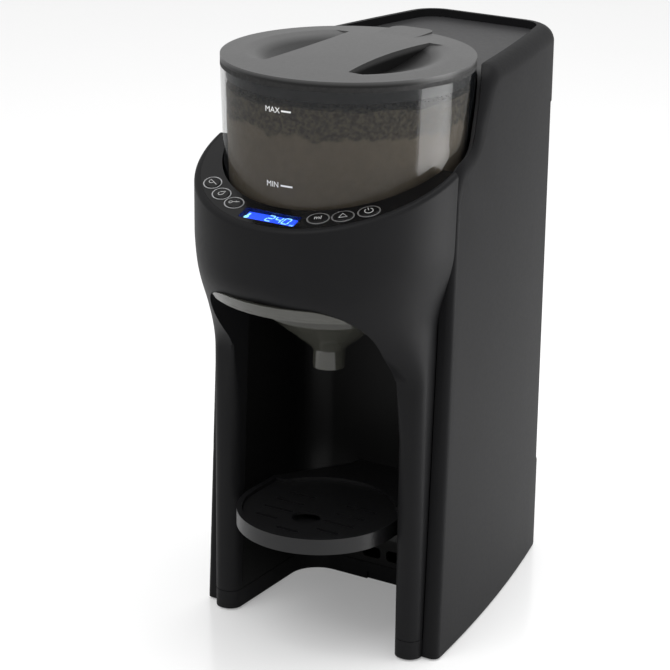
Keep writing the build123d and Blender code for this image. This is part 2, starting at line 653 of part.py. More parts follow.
def make_powder_container():
    """The tapered see-through container, with the shaft's hole and the powder outlet in its floor."""
    floor_z = CONTAINER_BOTTOM_Z + CONTAINER_WALL
    body = turned([
        (0, CONTAINER_BOTTOM_Z), (CONTAINER_BOTTOM_RADIUS, CONTAINER_BOTTOM_Z),
        (CONTAINER_TOP_RADIUS, CONTAINER_TOP_Z), (CONTAINER_TOP_RADIUS - CONTAINER_WALL, CONTAINER_TOP_Z),
        (container_radius(floor_z) - CONTAINER_WALL, floor_z), (0, floor_z),
    ], 0)
    body -= drum(SHAFT_RADIUS + 1.0, 0, SPAN)
    return body - drum(CHUTE_RADIUS, 0, SPAN, 0, CHUTE_Y)


def make_scoop(side):
    """The hand recess beside the lid's grip: deepest at the grip's waisted wall, fading out to the rim."""
    waist = GRIP_HALF_WIDTH - GRIP_WAIST
    wall = ThreePointArc((GRIP_HALF_WIDTH, -GRIP_HALF_LENGTH), (waist, 0), (GRIP_HALF_WIDTH, GRIP_HALF_LENGTH))
    outside = Line((GRIP_HALF_WIDTH, GRIP_HALF_LENGTH), (LID_RADIUS, GRIP_HALF_LENGTH))
    side_line = Line((LID_RADIUS, GRIP_HALF_LENGTH), (LID_RADIUS, -GRIP_HALF_LENGTH))
    inside = Line((LID_RADIUS, -GRIP_HALF_LENGTH), (GRIP_HALF_WIDTH, -GRIP_HALF_LENGTH))
    column = plan_prism(make_face([wall, outside, side_line, inside]), CONTAINER_TOP_Z - LID_PLUG_DEPTH, SPAN)
    rise = SCOOP_DEPTH / (SCOOP_REACH - waist)
    edge_z = LID_RIM_Z + LID_DOME * (1 - (SCOOP_REACH / LID_RADIUS) ** 2)
    dish = turned([
        (0, edge_z - rise * SCOOP_REACH), (SCOOP_REACH, edge_z), (SCOOP_REACH, edge_z + 20), (0, edge_z + 20),
    ], 0)
    scoop = column & dish
    return scoop if side > 0 else scoop.mirror(Plane.YZ)


def make_container_lid():
    """The lid: a slightly domed disc with a plug, two hand recesses, a grip bar and a rear tab."""
    underside = LID_RIM_Z - LID_RIM_THICKNESS
    dome_radius = (LID_RADIUS ** 2 + LID_DOME ** 2) / (2 * LID_DOME)
    dome = Pos(0, 0, LID_RIM_Z + LID_DOME - dome_radius) * Sphere(dome_radius)
    tab_end = Pos(0, TAB_REACH - TAB_HALF_WIDTH) * RectangleRounded(
        2 * TAB_HALF_WIDTH, 2 * TAB_HALF_WIDTH, TAB_HALF_WIDTH * 0.5)
    body = drum(LID_RADIUS, underside, SPAN) & dome
    body += plan_prism(tab_end, underside, LID_RIM_Z + 1)
    plug_radius = container_radius(underside) - CONTAINER_WALL - 1.2
    body += drum(plug_radius, underside - LID_PLUG_DEPTH, underside + 1)
    body -= drum(plug_radius - 3, 0, underside - LID_PLUG_DEPTH + 3.5)
    return body - make_scoop(1) - make_scoop(-1)


def make_lid_gasket():
    """The soft ring between the lid's rim and the container's top edge."""
    plug_radius = container_radius(CONTAINER_TOP_Z) - CONTAINER_WALL - 1.2
    return ring(CONTAINER_TOP_RADIUS, plug_radius + 0.1, CONTAINER_TOP_Z, LID_RIM_Z - LID_RIM_THICKNESS)


def hexagon(radius, z0, z1):
    """An upright six-sided bar."""
    return plan_prism(RegularPolygon(radius, 6), z0, z1)


def make_powder_wheel():
    """The dosing wheel: a disc whose pockets carry powder to the outlet."""
    top = WHEEL_BOTTOM_Z + WHEEL_THICKNESS
    body = drum(WHEEL_RADIUS, WHEEL_BOTTOM_Z, top)
    for pocket in range(WHEEL_POCKETS):
        turn = 360 / WHEEL_POCKETS * pocket
        body -= Rot(0, 0, turn) * drum(CHUTE_RADIUS + 1.5, 0, SPAN, 0, CHUTE_Y)
    return body - hexagon(SHAFT_RADIUS + 0.3, 0, SPAN)


def make_stirring_wheel():
    """The stirring wheel: a hub, three arms, a ring and upright paddles."""
    arm_top = STIRRER_BOTTOM_Z + 4
    body = drum(SHAFT_RADIUS + 7, STIRRER_BOTTOM_Z, SHAFT_TOP_Z + 2)
    body += ring(STIRRER_RADIUS, STIRRER_RADIUS - 4, STIRRER_BOTTOM_Z, arm_top)
    for arm in range(3):
        turned_by = Rot(0, 0, 120 * arm)
        body += turned_by * block(-3, 3, SHAFT_RADIUS + 4, STIRRER_RADIUS - 2, STIRRER_BOTTOM_Z, arm_top)
        body += turned_by * block(-1.5, 1.5, STIRRER_RADIUS - 18, STIRRER_RADIUS - 4, STIRRER_BOTTOM_Z + 1,
                                  STIRRER_BOTTOM_Z + STIRRER_PADDLE)
    return body - hexagon(SHAFT_RADIUS + 0.3, 0, SHAFT_TOP_Z + 0.5)


# ---------------------------------------------------------------- drive
def make_hopper_well():
    """The round seat for the container, its wall cut to the panel in front and the cover behind."""
    outer = WELL_RADIUS + WELL_WALL
    body = drum(outer, WELL_BOTTOM_Z, CONTAINER_BOTTOM_Z)
    front = ring(WELL_FRONT_RADIUS + WELL_FRONT_WALL, WELL_FRONT_RADIUS, WELL_BOTTOM_Z, SPAN)
    front = (front & panel_slab(PANEL_THICKNESS, SPAN)) - behind_seam(0)
    rear = ring(outer, WELL_RADIUS, WELL_BOTTOM_Z, SPAN) & behind_seam(0)
    rear -= rim_profile(RIM_SINK + COVER_THICKNESS, SPAN)
    body = body + front + rear
    body -= drum(SHAFT_RADIUS + 2.5, 0, SPAN)
    return body - drum(CHUTE_RADIUS, 0, SPAN, 0, CHUTE_Y)


def make_drive_deck():
    """The flat deck under the well, which carries the gears and the motor."""
    layer = block(-SPAN, SPAN, -SPAN, SPAN, DECK_BOTTOM_Z, WELL_BOTTOM_Z)
    front = (housing_volume(HOUSING_WALL, BOSS_TOP_Z) & layer) - behind_seam(0)
    rear = block(-SPAN, SPAN, -SPAN, BULKHEAD_Y, DECK_BOTTOM_Z, WELL_BOTTOM_Z) & behind_seam(0)
    bridge = block(-LEG_HALF_WIDTH, LEG_HALF_WIDTH, -SPAN, HOUSING_REAR_Y, DECK_BOTTOM_Z, WELL_BOTTOM_Z)
    rear &= shell_volume(SHELL_WALL) + bridge
    body = front + rear
    body -= drum(SHAFT_RADIUS + 2.5, 0, SPAN)
    body -= drum(CHUTE_RADIUS + CHUTE_WALL, 0, SPAN, 0, CHUTE_Y)
    return body - drum(NOZZLE_RADIUS, 0, SPAN, NOZZLE_X, NOZZLE_Y)


def make_powder_chute():
    """The tube that leads the powder from the well's floor into the bay."""
    outer = CHUTE_RADIUS + CHUTE_WALL
    return ring(outer, CHUTE_RADIUS, CHUTE_BOTTOM_Z, WELL_BOTTOM_Z, 0, CHUTE_Y)


def make_gear_plate():
    """The lower gear plate on its posts."""
    half = GEAR_PLATE_WIDTH / 2
    post_x = half - GEAR_POST_INSET
    body = block(-half, half, -GEAR_PLATE_REACH, BULKHEAD_Y, GEAR_PLATE_Z, GEAR_PLATE_TOP_Z)
    for x in (-post_x, post_x):
        for y in (GEAR_POST_INSET - GEAR_PLATE_REACH, IDLER_Y, BULKHEAD_Y - GEAR_POST_INSET):
            body += drum(GEAR_POST_RADIUS, GEAR_PLATE_TOP_Z - 1, DECK_BOTTOM_Z, x, y)
    body -= drum(SHAFT_RADIUS + RUNNING_FIT, 0, SPAN)
    body -= drum(3, 0, SPAN, 0, IDLER_Y)
    return body - drum(3 + RUNNING_FIT, 0, SPAN, 0, MOTOR_Y)


def make_drive_shaft():
    """The upright shaft, round in its bearings and six-sided in the wheels."""
    body = drum(SHAFT_RADIUS, GEAR_PLATE_Z, WHEEL_BOTTOM_Z - 0.4)
    return body + hexagon(SHAFT_RADIUS, WHEEL_BOTTOM_Z - 1, SHAFT_TOP_Z)


def make_gear_motor():
    """The motor under the gear plate, with its flat gearbox on top."""
    body = drum(MOTOR_RADIUS, GEAR_PLATE_Z - MOTOR_LENGTH, GEAR_PLATE_Z - 10, 0, MOTOR_Y)
    body += block(-MOTOR_RADIUS, MOTOR_RADIUS, MOTOR_Y - MOTOR_RADIUS, MOTOR_Y + MOTOR_RADIUS,
                  GEAR_PLATE_Z - 10, GEAR_PLATE_Z)
    return body - drum(3 + RUNNING_FIT, GEAR_PLATE_Z - 8, SPAN, 0, MOTOR_Y)


# ---------------------------------------------------------------- funnel
def make_mixing_funnel():
    """The funnel: a spout, a wide cone and a short rim."""
    axis_wall = SPOUT_RADIUS - FUNNEL_WALL
    return turned([
        (SPOUT_RADIUS, SPOUT_BOTTOM_Z), (SPOUT_RADIUS, SPOUT_TOP_Z - 2), (SPOUT_RADIUS + 1, SPOUT_TOP_Z),
        (FUNNEL_RIM_RADIUS, FUNNEL_CONE_TOP_Z), (FUNNEL_RIM_RADIUS, FUNNEL_RIM_Z),
        (FUNNEL_RIM_RADIUS - FUNNEL_WALL, FUNNEL_RIM_Z),
        (FUNNEL_RIM_RADIUS - FUNNEL_WALL, FUNNEL_CONE_TOP_Z + 1.2),
        (axis_wall, SPOUT_TOP_Z + 1.2), (axis_wall, SPOUT_BOTTOM_Z),
    ], FUNNEL_Y)


def make_funnel_cover():
    """The funnel's cover: a plate on the rails, a skirt in the funnel and a sloping lip in front."""
    top = COVER_BOTTOM_Z + 2.5
    lip_top = BAY_TOP_Z - PARTING
    plate = drum(LIP_BOTTOM_RADIUS + 1, COVER_BOTTOM_Z, top, 0, HEAD_CENTRE_Y)
    plate &= block(-COVER_HALF_WIDTH, COVER_HALF_WIDTH, -SPAN, COVER_REAR_Y, 0, SPAN)
    skirt_radius = FUNNEL_RIM_RADIUS - FUNNEL_WALL - RUNNING_FIT
    skirt = ring(skirt_radius, skirt_radius - 2, FUNNEL_RIM_Z - 4, COVER_BOTTOM_Z + 0.5, 0, FUNNEL_Y)
    collar = ring(FUNNEL_RIM_RADIUS, skirt_radius - 1, FUNNEL_RIM_Z, COVER_BOTTOM_Z + 0.5, 0, FUNNEL_Y)
    lip = turned([
        (LIP_BOTTOM_RADIUS, LIP_BOTTOM_Z), (LIP_TOP_RADIUS, lip_top),
        (LIP_TOP_RADIUS - 2.4, lip_top), (LIP_BOTTOM_RADIUS - 2.4, LIP_BOTTOM_Z + 0.4),
    ], HEAD_CENTRE_Y)
    lip &= block(-SPAN, SPAN, -SPAN, -60, 0, SPAN) & bay_space(-PARTING)
    lip &= block(-COVER_HALF_WIDTH - 3, COVER_HALF_WIDTH + 3, -SPAN, 0, 0, SPAN)
    body = plate + skirt + collar + lip
    body -= drum(CHUTE_RADIUS + 3, COVER_BOTTOM_Z - 2, SPAN, 0, CHUTE_Y)
    return body - drum(NOZZLE_RADIUS + NOZZLE_WALL + 1, COVER_BOTTOM_Z - 2, SPAN, NOZZLE_X, NOZZLE_Y)


def make_funnel_rails():
    """Two ledges on the bay's arch, on which the funnel's cover slides."""
    top = COVER_BOTTOM_Z - 0.1
    ledge = block(RAIL_HALF_GAP, SPAN, COVER_REAR_Y - RAIL_LENGTH, COVER_REAR_Y, top - RAIL_THICKNESS, top)
    right = ledge & bay_space(0)
    return right + right.mirror(Plane.YZ)


def make_water_nozzle():
    """The hot water nozzle over the funnel, with its side entry for the hot tube."""
    body = drum(NOZZLE_RADIUS + NOZZLE_WALL, CHUTE_BOTTOM_Z, TUBE_Z + TUBE_RADIUS + 1.5, NOZZLE_X, NOZZLE_Y)
    body += drum(NOZZLE_RADIUS, TUBE_Z, WELL_BOTTOM_Z, NOZZLE_X, NOZZLE_Y)
    return body - drum(1.5, 0, TUBE_Z, NOZZLE_X, NOZZLE_Y)


# ---------------------------------------------------------------- tray
def tray_outline(radius, half_width, rear_y):
    """The tray's plan: round in front, straight at the sides."""
    disc = Pos(0, TRAY_Y) * Circle(radius)
    return disc + Pos(0, (TRAY_Y + rear_y) / 2) * Rectangle(2 * half_width, rear_y - TRAY_Y)


def make_bottle_tray():
    """The tray: a shallow cup with a neck, a back plate and hooks."""
    bottom = TRAY_TOP_Z - TRAY_DEPTH
    floor_z = bottom + TRAY_FLOOR
    rear_y = BAY_BACK_Y - PARTING
    neck = make_face(Polyline(
        (-TRAY_RADIUS, TRAY_Y + 27), (TRAY_RADIUS, TRAY_Y + 27), (TRAY_NECK_HALF, rear_y - TRAY_PLATE),
        (TRAY_NECK_HALF, rear_y), (-TRAY_NECK_HALF, rear_y), (-TRAY_NECK_HALF, rear_y - TRAY_PLATE),
        close=True))
    body = plan_prism(tray_outline(TRAY_RADIUS, TRAY_RADIUS, TRAY_Y + 28), bottom, TRAY_TOP_Z)
    body += plan_prism(neck, bottom, TRAY_TOP_Z)
    body -= plan_prism(tray_outline(TRAY_RECESS_RADIUS, TRAY_RECESS_RADIUS, TRAY_Y + 25), floor_z, SPAN)
    seat = TRAY_TOP_Z - GRILLE_SINK - GRILLE_THICKNESS
    for x, y in ((-34, -44), (34, -44), (-34, -8), (34, -8)):
        body += drum(2.5, floor_z - 1, seat, x, y)
    body += block(-TRAY_NECK_HALF, TRAY_NECK_HALF, rear_y - TRAY_PLATE, rear_y, TRAY_TOP_Z - TRAY_PLATE_DROP,
                  TRAY_TOP_Z)
    for z in HOOK_LEVELS_Z[1:]:
        for x in (-HOOK_X, HOOK_X):
            body += hook_bar(x, z, 0, rear_y - 1, BAY_BACK_Y + HOOK_REACH)
    return body


def make_tray_grille():
    """The lift-out grille with its drain slots and round hole."""
    top = TRAY_TOP_Z - GRILLE_SINK
    radius = TRAY_RECESS_RADIUS - 0.3
    body = plan_prism(tray_outline(radius, radius, TRAY_Y + 24.7), top - GRILLE_THICKNESS, top)
    body -= drum(GRILLE_HOLE_RADIUS, 0, SPAN, 0, GRILLE_HOLE_Y)
    slot = SlotOverall(SLOT_LENGTH, SLOT_WIDTH)
    for y in SLOT_ROWS_Y[1:]:
        for side in (-1, 1):
            body -= plan_prism(Pos(side * (SLOT_INNER_X + SLOT_LENGTH / 2), y) * slot, 0, SPAN)
    front = SlotOverall(0.76 * SLOT_LENGTH, SLOT_WIDTH)
    body -= plan_prism(Pos(0, TRAY_Y - 36) * front, 0, SPAN)
    for side in (-1, 1):
        body -= plan_prism(Pos(side * 22, SLOT_ROWS_Y[0]) * front, 0, SPAN)
    return body


# ---------------------------------------------------------------- water tank
def tank_volume(inset, bottom, top):
    """The tank's outside: a wrap round the rear corners and a narrower block that reaches inwards."""
    wrap = shell_volume(TANK_INSET + inset)
    wrap &= block(-SPAN, SPAN, TANK_WRAP_Y + PARTING + inset, SPAN, bottom, top)
    core = block(-TANK_HALF_WIDTH + inset, TANK_HALF_WIDTH - inset, TANK_FRONT_Y + inset, TANK_WRAP_Y + 8,
                 bottom, top)
    return wrap + core


def make_water_tank():
    """The tank: an open filler on top, a hand recess at the rear and a spigot with a seat in front."""
    edge = TANK_HOUSE_TOP_Z - PARTING
    body = tank_volume(0, TANK_BOTTOM_Z, TANK_TOP_Z)
    raised = tank_volume(0, TANK_TOP_Z - 1, edge)
    body += raised & block(-SPAN, SPAN, TANK_WRAP_Y, SPAN, 0, SPAN)
    cavity = tank_volume(TANK_WALL, TANK_BOTTOM_Z + TANK_WALL, TANK_TOP_Z - TANK_WALL)
    recess_y = SHELL_REAR_Y - TANK_INSET - GRIP_DEPTH
    skin = TANK_WALL
    half = GRIP_WIDTH / 2
    rise = GRIP_HEIGHT / 2
    cavity -= block(-half - skin, half + skin, recess_y - skin, SPAN, GRIP_Z - rise - skin, GRIP_Z + rise + skin)
    body -= cavity
    body -= block(-half, half, recess_y, SPAN, GRIP_Z - rise, GRIP_Z + rise)
    body -= block(-FILLER_HALF_WIDTH, FILLER_HALF_WIDTH, FILLER_FRONT_Y, FILLER_REAR_Y, TANK_TOP_Z - 5, SPAN)
    lane = FILLER_HALF_WIDTH + FILLER_EDGE + FILLER_FIT
    body -= block(-lane, lane, TANK_FRONT_Y, SPAN, TANK_TOP_Z, SPAN)
    groove = lane + FILLER_RIB
    body -= block(-groove, groove, TANK_FRONT_Y, SPAN, TANK_TOP_Z + 1, TANK_TOP_Z + 2.6 + FILLER_FIT)
    body += rod_y(PORT_RADIUS, TANK_FRONT_Y - PORT_REACH, SEAT_Y, 0, PORT_Z)
    body -= rod_y(PORT_BORE, TANK_FRONT_Y - PORT_REACH - 1, TANK_FRONT_Y, 0, PORT_Z)
    return body - rod_y(STEM_RADIUS + 1.0, TANK_FRONT_Y - 1, SEAT_Y + 1, 0, PORT_Z)


def make_tank_lid():
    """The filler's lid: a plate that slides out rearwards, held down by ribs at both sides."""
    top = TANK_HOUSE_TOP_Z - PARTING - FILLER_FIT
    half = FILLER_HALF_WIDTH + FILLER_EDGE
    rib = half + FILLER_RIB
    front = FILLER_FRONT_Y - FILLER_EDGE
    body = block(-half, half, front, SPAN, TANK_TOP_Z, top)
    body += block(-rib, rib, front, SPAN, TANK_TOP_Z + 1 + FILLER_FIT, TANK_TOP_Z + 2.6)
    body &= shell_volume(TANK_INSET)
    return body - block(-12, 12, SHELL_REAR_Y - 4, SPAN, 0, TANK_TOP_Z + 1.8)


def make_tank_valve():
    """The valve: a head behind the seat, a stem through it and a collar that the spring bears on."""
    tip = TANK_FRONT_Y - PORT_REACH + 1
    body = rod_y(STEM_RADIUS + 3, SEAT_Y, SEAT_Y + 2, 0, PORT_Z)
    body += rod_y(STEM_RADIUS, tip, SEAT_Y + 1, 0, PORT_Z)
    return body + rod_y(PORT_BORE - 0.5, tip, tip + 1, 0, PORT_Z)


def make_valve_spring():
    """The spring round the stem, between the collar and the bore's shoulder."""
    front = TANK_FRONT_Y - PORT_REACH + 2 + SPRING_WIRE
    length = TANK_FRONT_Y - front - SPRING_WIRE
    coil = Helix(pitch=length / 3, height=length, radius=PORT_BORE - 1)
    start = Plane(origin=coil @ 0, z_dir=coil % 0)
    spring = sweep(start * Circle(SPRING_WIRE), path=coil)
    return Pos(0, front, PORT_Z) * Rot(-90, 0, 0) * spring


def make_tank_house():
    """The bulkhead in front of the tank and the ceiling over it."""
    body = block(-SPAN, SPAN, BULKHEAD_Y, BULKHEAD_Y + BULKHEAD, BASE_TOP_Z, TANK_HOUSE_TOP_Z + BULKHEAD)
    body += block(-SPAN, SPAN, BULKHEAD_Y, SPAN, TANK_HOUSE_TOP_Z, TANK_HOUSE_TOP_Z + BULKHEAD)
    body &= shell_volume(SHELL_WALL)
    return body - rod_y(DOCK_RADIUS, 0, SPAN, 0, PORT_Z)


def make_tank_floor():
    """The ledge that the tank stands on."""
    body = block(-SPAN, SPAN, BULKHEAD_Y + BULKHEAD, SPAN, TANK_BOTTOM_Z - 4, TANK_BOTTOM_Z)
    return body & shell_volume(SHELL_WALL)


def make_tank_dock():
    """The socket in the bulkhead that takes the tank's spigot, with a hose tail in front."""
    body = rod_y(DOCK_RADIUS, DOCK_FRONT_Y, TANK_FRONT_Y - 1, 0, PORT_Z)
    body -= rod_y(PORT_RADIUS + SEAL_THICKNESS, DOCK_FRONT_Y + DOCK_WALL, SPAN, 0, PORT_Z)
    body += rod_y(TUBE_RADIUS, DOCK_FRONT_Y - DOCK_TAIL, DOCK_FRONT_Y + 1, 0, PORT_Z)
    return body - rod_y(TUBE_RADIUS - 1.2, DOCK_FRONT_Y - DOCK_TAIL - 1, DOCK_FRONT_Y + 4, 0, PORT_Z)


def make_dock_seal():
    """The soft ring between spigot and socket."""
    middle = TANK_FRONT_Y - PORT_REACH / 2
    outer = rod_y(PORT_RADIUS + SEAL_THICKNESS, middle - 1.5, middle + 1.5, 0, PORT_Z)
    return outer - rod_y(PORT_RADIUS + RUNNING_FIT, 0, SPAN, 0, PORT_Z)


# ---------------------------------------------------------------- water path and electrics
def tube(points):
    """A round tube through points, with bends of one radius."""
    path = FilletPolyline(*points, radius=TUBE_BEND)
    start = Vector(*points[0])
    heading = Vector(*points[1]) - start
    return sweep(Plane(origin=start, z_dir=heading) * Circle(TUBE_RADIUS), path=path)


def make_water_tubes():
    """The tubes from the tank's dock to the pump, on to the heater and up to the nozzle."""
    dock_y = DOCK_FRONT_Y - DOCK_TAIL
    outlet_x = PUMP_X + PUMP_RADIUS
    suction = tube([(0, dock_y, PORT_Z), (0, SERVICE_Y, PORT_Z), (PUMP_X, SERVICE_Y, PORT_Z),
                    (PUMP_X, SERVICE_Y, PUMP_TOP_Z)])
    pressure = tube([(outlet_x, SERVICE_Y, PRESSURE_Z), (HEATER_X, SERVICE_Y, PRESSURE_Z),
                     (HEATER_X, SERVICE_Y, HEATER_BOTTOM_Z)])
    hot = tube([(HEATER_X, SERVICE_Y, HEATER_TOP_Z), (HEATER_X, SERVICE_Y, TUBE_Z),
                (HEATER_X, NOZZLE_Y, TUBE_Z), (NOZZLE_X + NOZZLE_RADIUS + NOZZLE_WALL, NOZZLE_Y, TUBE_Z)])
    return [suction, pressure, hot]


def make_water_pump():
    """The pump: a motor can standing on the base, with a wider head on top."""
    body = drum(PUMP_RADIUS, BASE_FLOOR_Z, PUMP_TOP_Z - 12, PUMP_X, SERVICE_Y)
    return body + drum(PUMP_RADIUS + 2, PUMP_TOP_Z - 12, PUMP_TOP_Z, PUMP_X, SERVICE_Y)


def make_water_heater():
    """The heater: an upright can with end caps and two brackets to the bulkhead."""
    body = drum(HEATER_RADIUS, HEATER_BOTTOM_Z, HEATER_TOP_Z, HEATER_X, SERVICE_Y)
    for z in (HEATER_BOTTOM_Z + 18, HEATER_TOP_Z - 18):
        body += ring(HEATER_RADIUS + 1.5, HEATER_RADIUS - 1, z - 4, z + 4, HEATER_X, SERVICE_Y)
        body += block(HEATER_X - 4, HEATER_X + 4, SERVICE_Y + HEATER_RADIUS - 1, BULKHEAD_Y, z - 4, z + 4)
    return body


def make_main_board():
    """The main circuit board on the bulkhead, with its larger components."""
    right = MAIN_BOARD_LEFT_X + MAIN_BOARD_WIDTH
    middle = MAIN_BOARD_LEFT_X + MAIN_BOARD_WIDTH / 2
    bottom = MAIN_BOARD_BOTTOM_Z
    top = bottom + MAIN_BOARD_HEIGHT
    back = BULKHEAD_Y
    front = back - BOARD_THICKNESS
    body = block(MAIN_BOARD_LEFT_X, right, front, back, bottom, top)
    body += block(middle - RELAY_WIDTH, middle, front - RELAY_DEPTH, front, top - 1.3 * RELAY_HEIGHT,
                  top - 0.3 * RELAY_HEIGHT)
    for z in (bottom + 2 * CAPACITOR_RADIUS, bottom + 5 * CAPACITOR_RADIUS):
        body += rod_y(CAPACITOR_RADIUS, front - CAPACITOR_LENGTH, front, middle - 4 * CAPACITOR_RADIUS, z)
        body += block(middle, middle + CHIP_WIDTH, front - CHIP_DEPTH, front, z - CHIP_HEIGHT / 2, z + CHIP_HEIGHT / 2)
    return body


def make_power_inlet():
    """The mains inlet in the rear wall, with its recess and three pins."""
    rear = SHELL_REAR_Y - 0.6
    front = rear - INLET_DEPTH
    half = INLET_HALF_WIDTH - PARTING
    rise = INLET_HALF_HEIGHT - PARTING
    body = block(-half, half, front, rear, INLET_Z - rise, INLET_Z + rise)
    body += block(-half - 4, half + 4, rear - SHELL_WALL - 3, rear - SHELL_WALL - 0.2,
                  INLET_Z - rise - 4, INLET_Z + rise + 4)
    body -= block(-half + 2.5, half - 2.5, front + 4, SPAN, INLET_Z - rise + 2.5, INLET_Z + rise - 2.5)
    for x, z in ((-5, INLET_Z - 2), (5, INLET_Z - 2), (0, INLET_Z + 3)):
        body += block(x - 1, x + 1, front + 3, rear - 5, z - 2, z + 2)
    return body


def make_rubber_feet():
    """Four flat rubber discs under the base."""
    return [drum(FOOT_RADIUS, 0, FOOT_HEIGHT, x, y) for x, y in FOOT_PLACES]


def make_housing_screws():
    """The screws from below that hold the base to the shells."""
    screws = []
    for x, y in SCREW_PLACES:
        head_top = FOOT_HEIGHT + SCREW_HEAD_HEIGHT
        screws.append(drum(SCREW_HEAD_RADIUS, FOOT_HEIGHT + 0.3, head_top, x, y)
                      + drum(SCREW_RADIUS, head_top - 0.5, head_top + SCREW_LENGTH, x, y))
    return screws


# ---------------------------------------------------------------- control panel
def oval(grow):
    """The buttons' oval outline, grown by a margin."""
    return Ellipse(BUTTON_LENGTH / 2 + grow, BUTTON_WIDTH / 2 + grow)


def crescent(outer, inner, top, bottom):
    """A crescent in the panel's plane, between the head's circle and the container's."""
    body = drum(outer, DECK_BOTTOM_Z, SPAN, 0, HEAD_CENTRE_Y) - drum(inner, 0, SPAN)
    return (body & panel_slab(top, bottom)) - behind_seam(-PARTING)


def make_control_panel():
    """The glossy crescent with its display window and button openings."""
    body = crescent(PANEL_RADIUS, PANEL_INNER_RADIUS, 0, PANEL_THICKNESS)
    for angle in BUTTON_ANGLES:
        hole = Pos(0, 0, -5) * oval(RING_WIDTH + BUTTON_CLEARANCE)
        body -= panel_place(BUTTON_CIRCLE, angle) * extrude(hole, 10)
    window = Pos(0, 0, -5) * RectangleRounded(DISPLAY_LENGTH, DISPLAY_WIDTH, DISPLAY_CORNER)
    return body - panel_place(DISPLAY_CIRCLE, 0) * extrude(window, 10)


def make_display_window():
    """The display's clear window, flush in the panel."""
    pane = Pos(0, 0, -1.6) * RectangleRounded(DISPLAY_LENGTH - 0.2, DISPLAY_WIDTH - 0.2, DISPLAY_CORNER)
    return panel_place(DISPLAY_CIRCLE, 0) * extrude(pane, 1.6)


def make_display_module():
    """The display behind the window, standing on the panel's board."""
    top = -1.7
    depth = BOARD_DEPTH + top
    module = Pos(0, 0, top - depth / 2) * Box(DISPLAY_LENGTH - 5, DISPLAY_WIDTH - 2.4, depth)
    return panel_place(DISPLAY_CIRCLE, 0) * module


def make_button_rings():
    """The bright rings round the buttons."""
    rings = []
    for angle in BUTTON_ANGLES:
        band = Pos(0, 0, -PANEL_THICKNESS) * (oval(RING_WIDTH + BUTTON_CLEARANCE) - oval(BUTTON_CLEARANCE))
        rings.append(panel_place(BUTTON_CIRCLE, angle) * extrude(band, PANEL_THICKNESS + RING_RISE))
    return rings


def make_button(angle):
    """One push button: an oval cap, a flange that keeps it in and a stem down to its switch."""
    flange_top = -PANEL_THICKNESS - 0.1
    cap = extrude(Pos(0, 0, flange_top - 1) * oval(0), BUTTON_RISE - flange_top + 1)
    crown = cap.faces().sort_by(Axis.Z)[-1].edges()
    cap = fillet(crown, BUTTON_EDGE_RADIUS)
    flange = extrude(Pos(0, 0, flange_top - 1.5) * oval(BUTTON_FLANGE), 1.5)
    stem_bottom = -BOARD_DEPTH + SWITCH_HEIGHT + BUTTON_TRAVEL + 0.1
    stem = Pos(0, 0, (flange_top + stem_bottom) / 2 - 0.5) * Cylinder(
        BUTTON_STEM_RADIUS, flange_top - stem_bottom - 1.0)
    return panel_place(BUTTON_CIRCLE, angle) * (cap + flange + stem)


def make_tact_switches():
    """The small switches under the buttons."""
    switch = Box(SWITCH_LENGTH, SWITCH_WIDTH, SWITCH_HEIGHT)
    return [panel_place(BUTTON_CIRCLE, angle, BOARD_DEPTH - SWITCH_HEIGHT / 2) * switch for angle in BUTTON_ANGLES]


def make_panel_board():
    """The crescent circuit board under the panel, clear of the container's seat."""
    inner = WELL_FRONT_RADIUS + WELL_FRONT_WALL
    return crescent(PANEL_RADIUS + BOARD_REACH, inner, BOARD_DEPTH, BOARD_DEPTH + BOARD_THICKNESS)


# ---------------------------------------------------------------- assembly
def build():
    """Every named piece of the machine."""
    idler_phase = 180 / IDLER_TEETH
    pieces = {
        "front_housing": make_front_housing(),
        "bay_liner": make_bay_liner(),
        "base_trim": make_base_trim(),
        "outer_shell": make_outer_shell(),
        "top_cover": make_top_cover(),
        "hopper_well": make_hopper_well(),
        "drive_deck": make_drive_deck(),
        "powder_chute": make_powder_chute(),
        "gear_plate": make_gear_plate(),
        "drive_gear": gear(DRIVE_TEETH, SHAFT_RADIUS, 0, 0),
        "drive_shaft": make_drive_shaft(),
        "idler_gear": gear(IDLER_TEETH, 3, IDLER_Y, idler_phase),
        "motor_pinion": gear(PINION_TEETH, 3, MOTOR_Y, 0),
        "gear_motor": make_gear_motor(),
        "powder_container": make_powder_container(),
        "container_lid": make_container_lid(),
        "lid_gasket": make_lid_gasket(),
        "powder_wheel": make_powder_wheel(),
        "stirring_wheel": make_stirring_wheel(),
        "mixing_funnel": make_mixing_funnel(),
        "funnel_cover": make_funnel_cover(),
        "funnel_rails": make_funnel_rails(),
        "water_nozzle": make_water_nozzle(),
        "bottle_tray": make_bottle_tray(),
        "tray_grille": make_tray_grille(),
        "water_tank": make_water_tank(),
        "tank_lid": make_tank_lid(),
        "tank_valve": make_tank_valve(),
        "valve_spring": make_valve_spring(),
        "tank_house": make_tank_house(),
        "tank_floor": make_tank_floor(),
        "tank_dock": make_tank_dock(),
        "dock_seal": make_dock_seal(),
        "water_pump": make_water_pump(),
        "water_heater": make_water_heater(),
        "water_tubes": make_water_tubes(),
        "main_board": make_main_board(),
        "power_inlet": make_power_inlet(),
        "rubber_feet": make_rubber_feet(),
        "housing_screws": make_housing_screws(),
        "control_panel": make_control_panel(),
        "display_window": make_display_window(),
        "display_module": make_display_module(),
        "button_rings": make_button_rings(),
        "tact_switches": make_tact_switches(),
        "panel_board": make_panel_board(),
    }
    for name, angle in zip(BUTTON_NAMES, BUTTON_ANGLES):
        pieces["button_" + name] = make_button(angle)
    return pieces


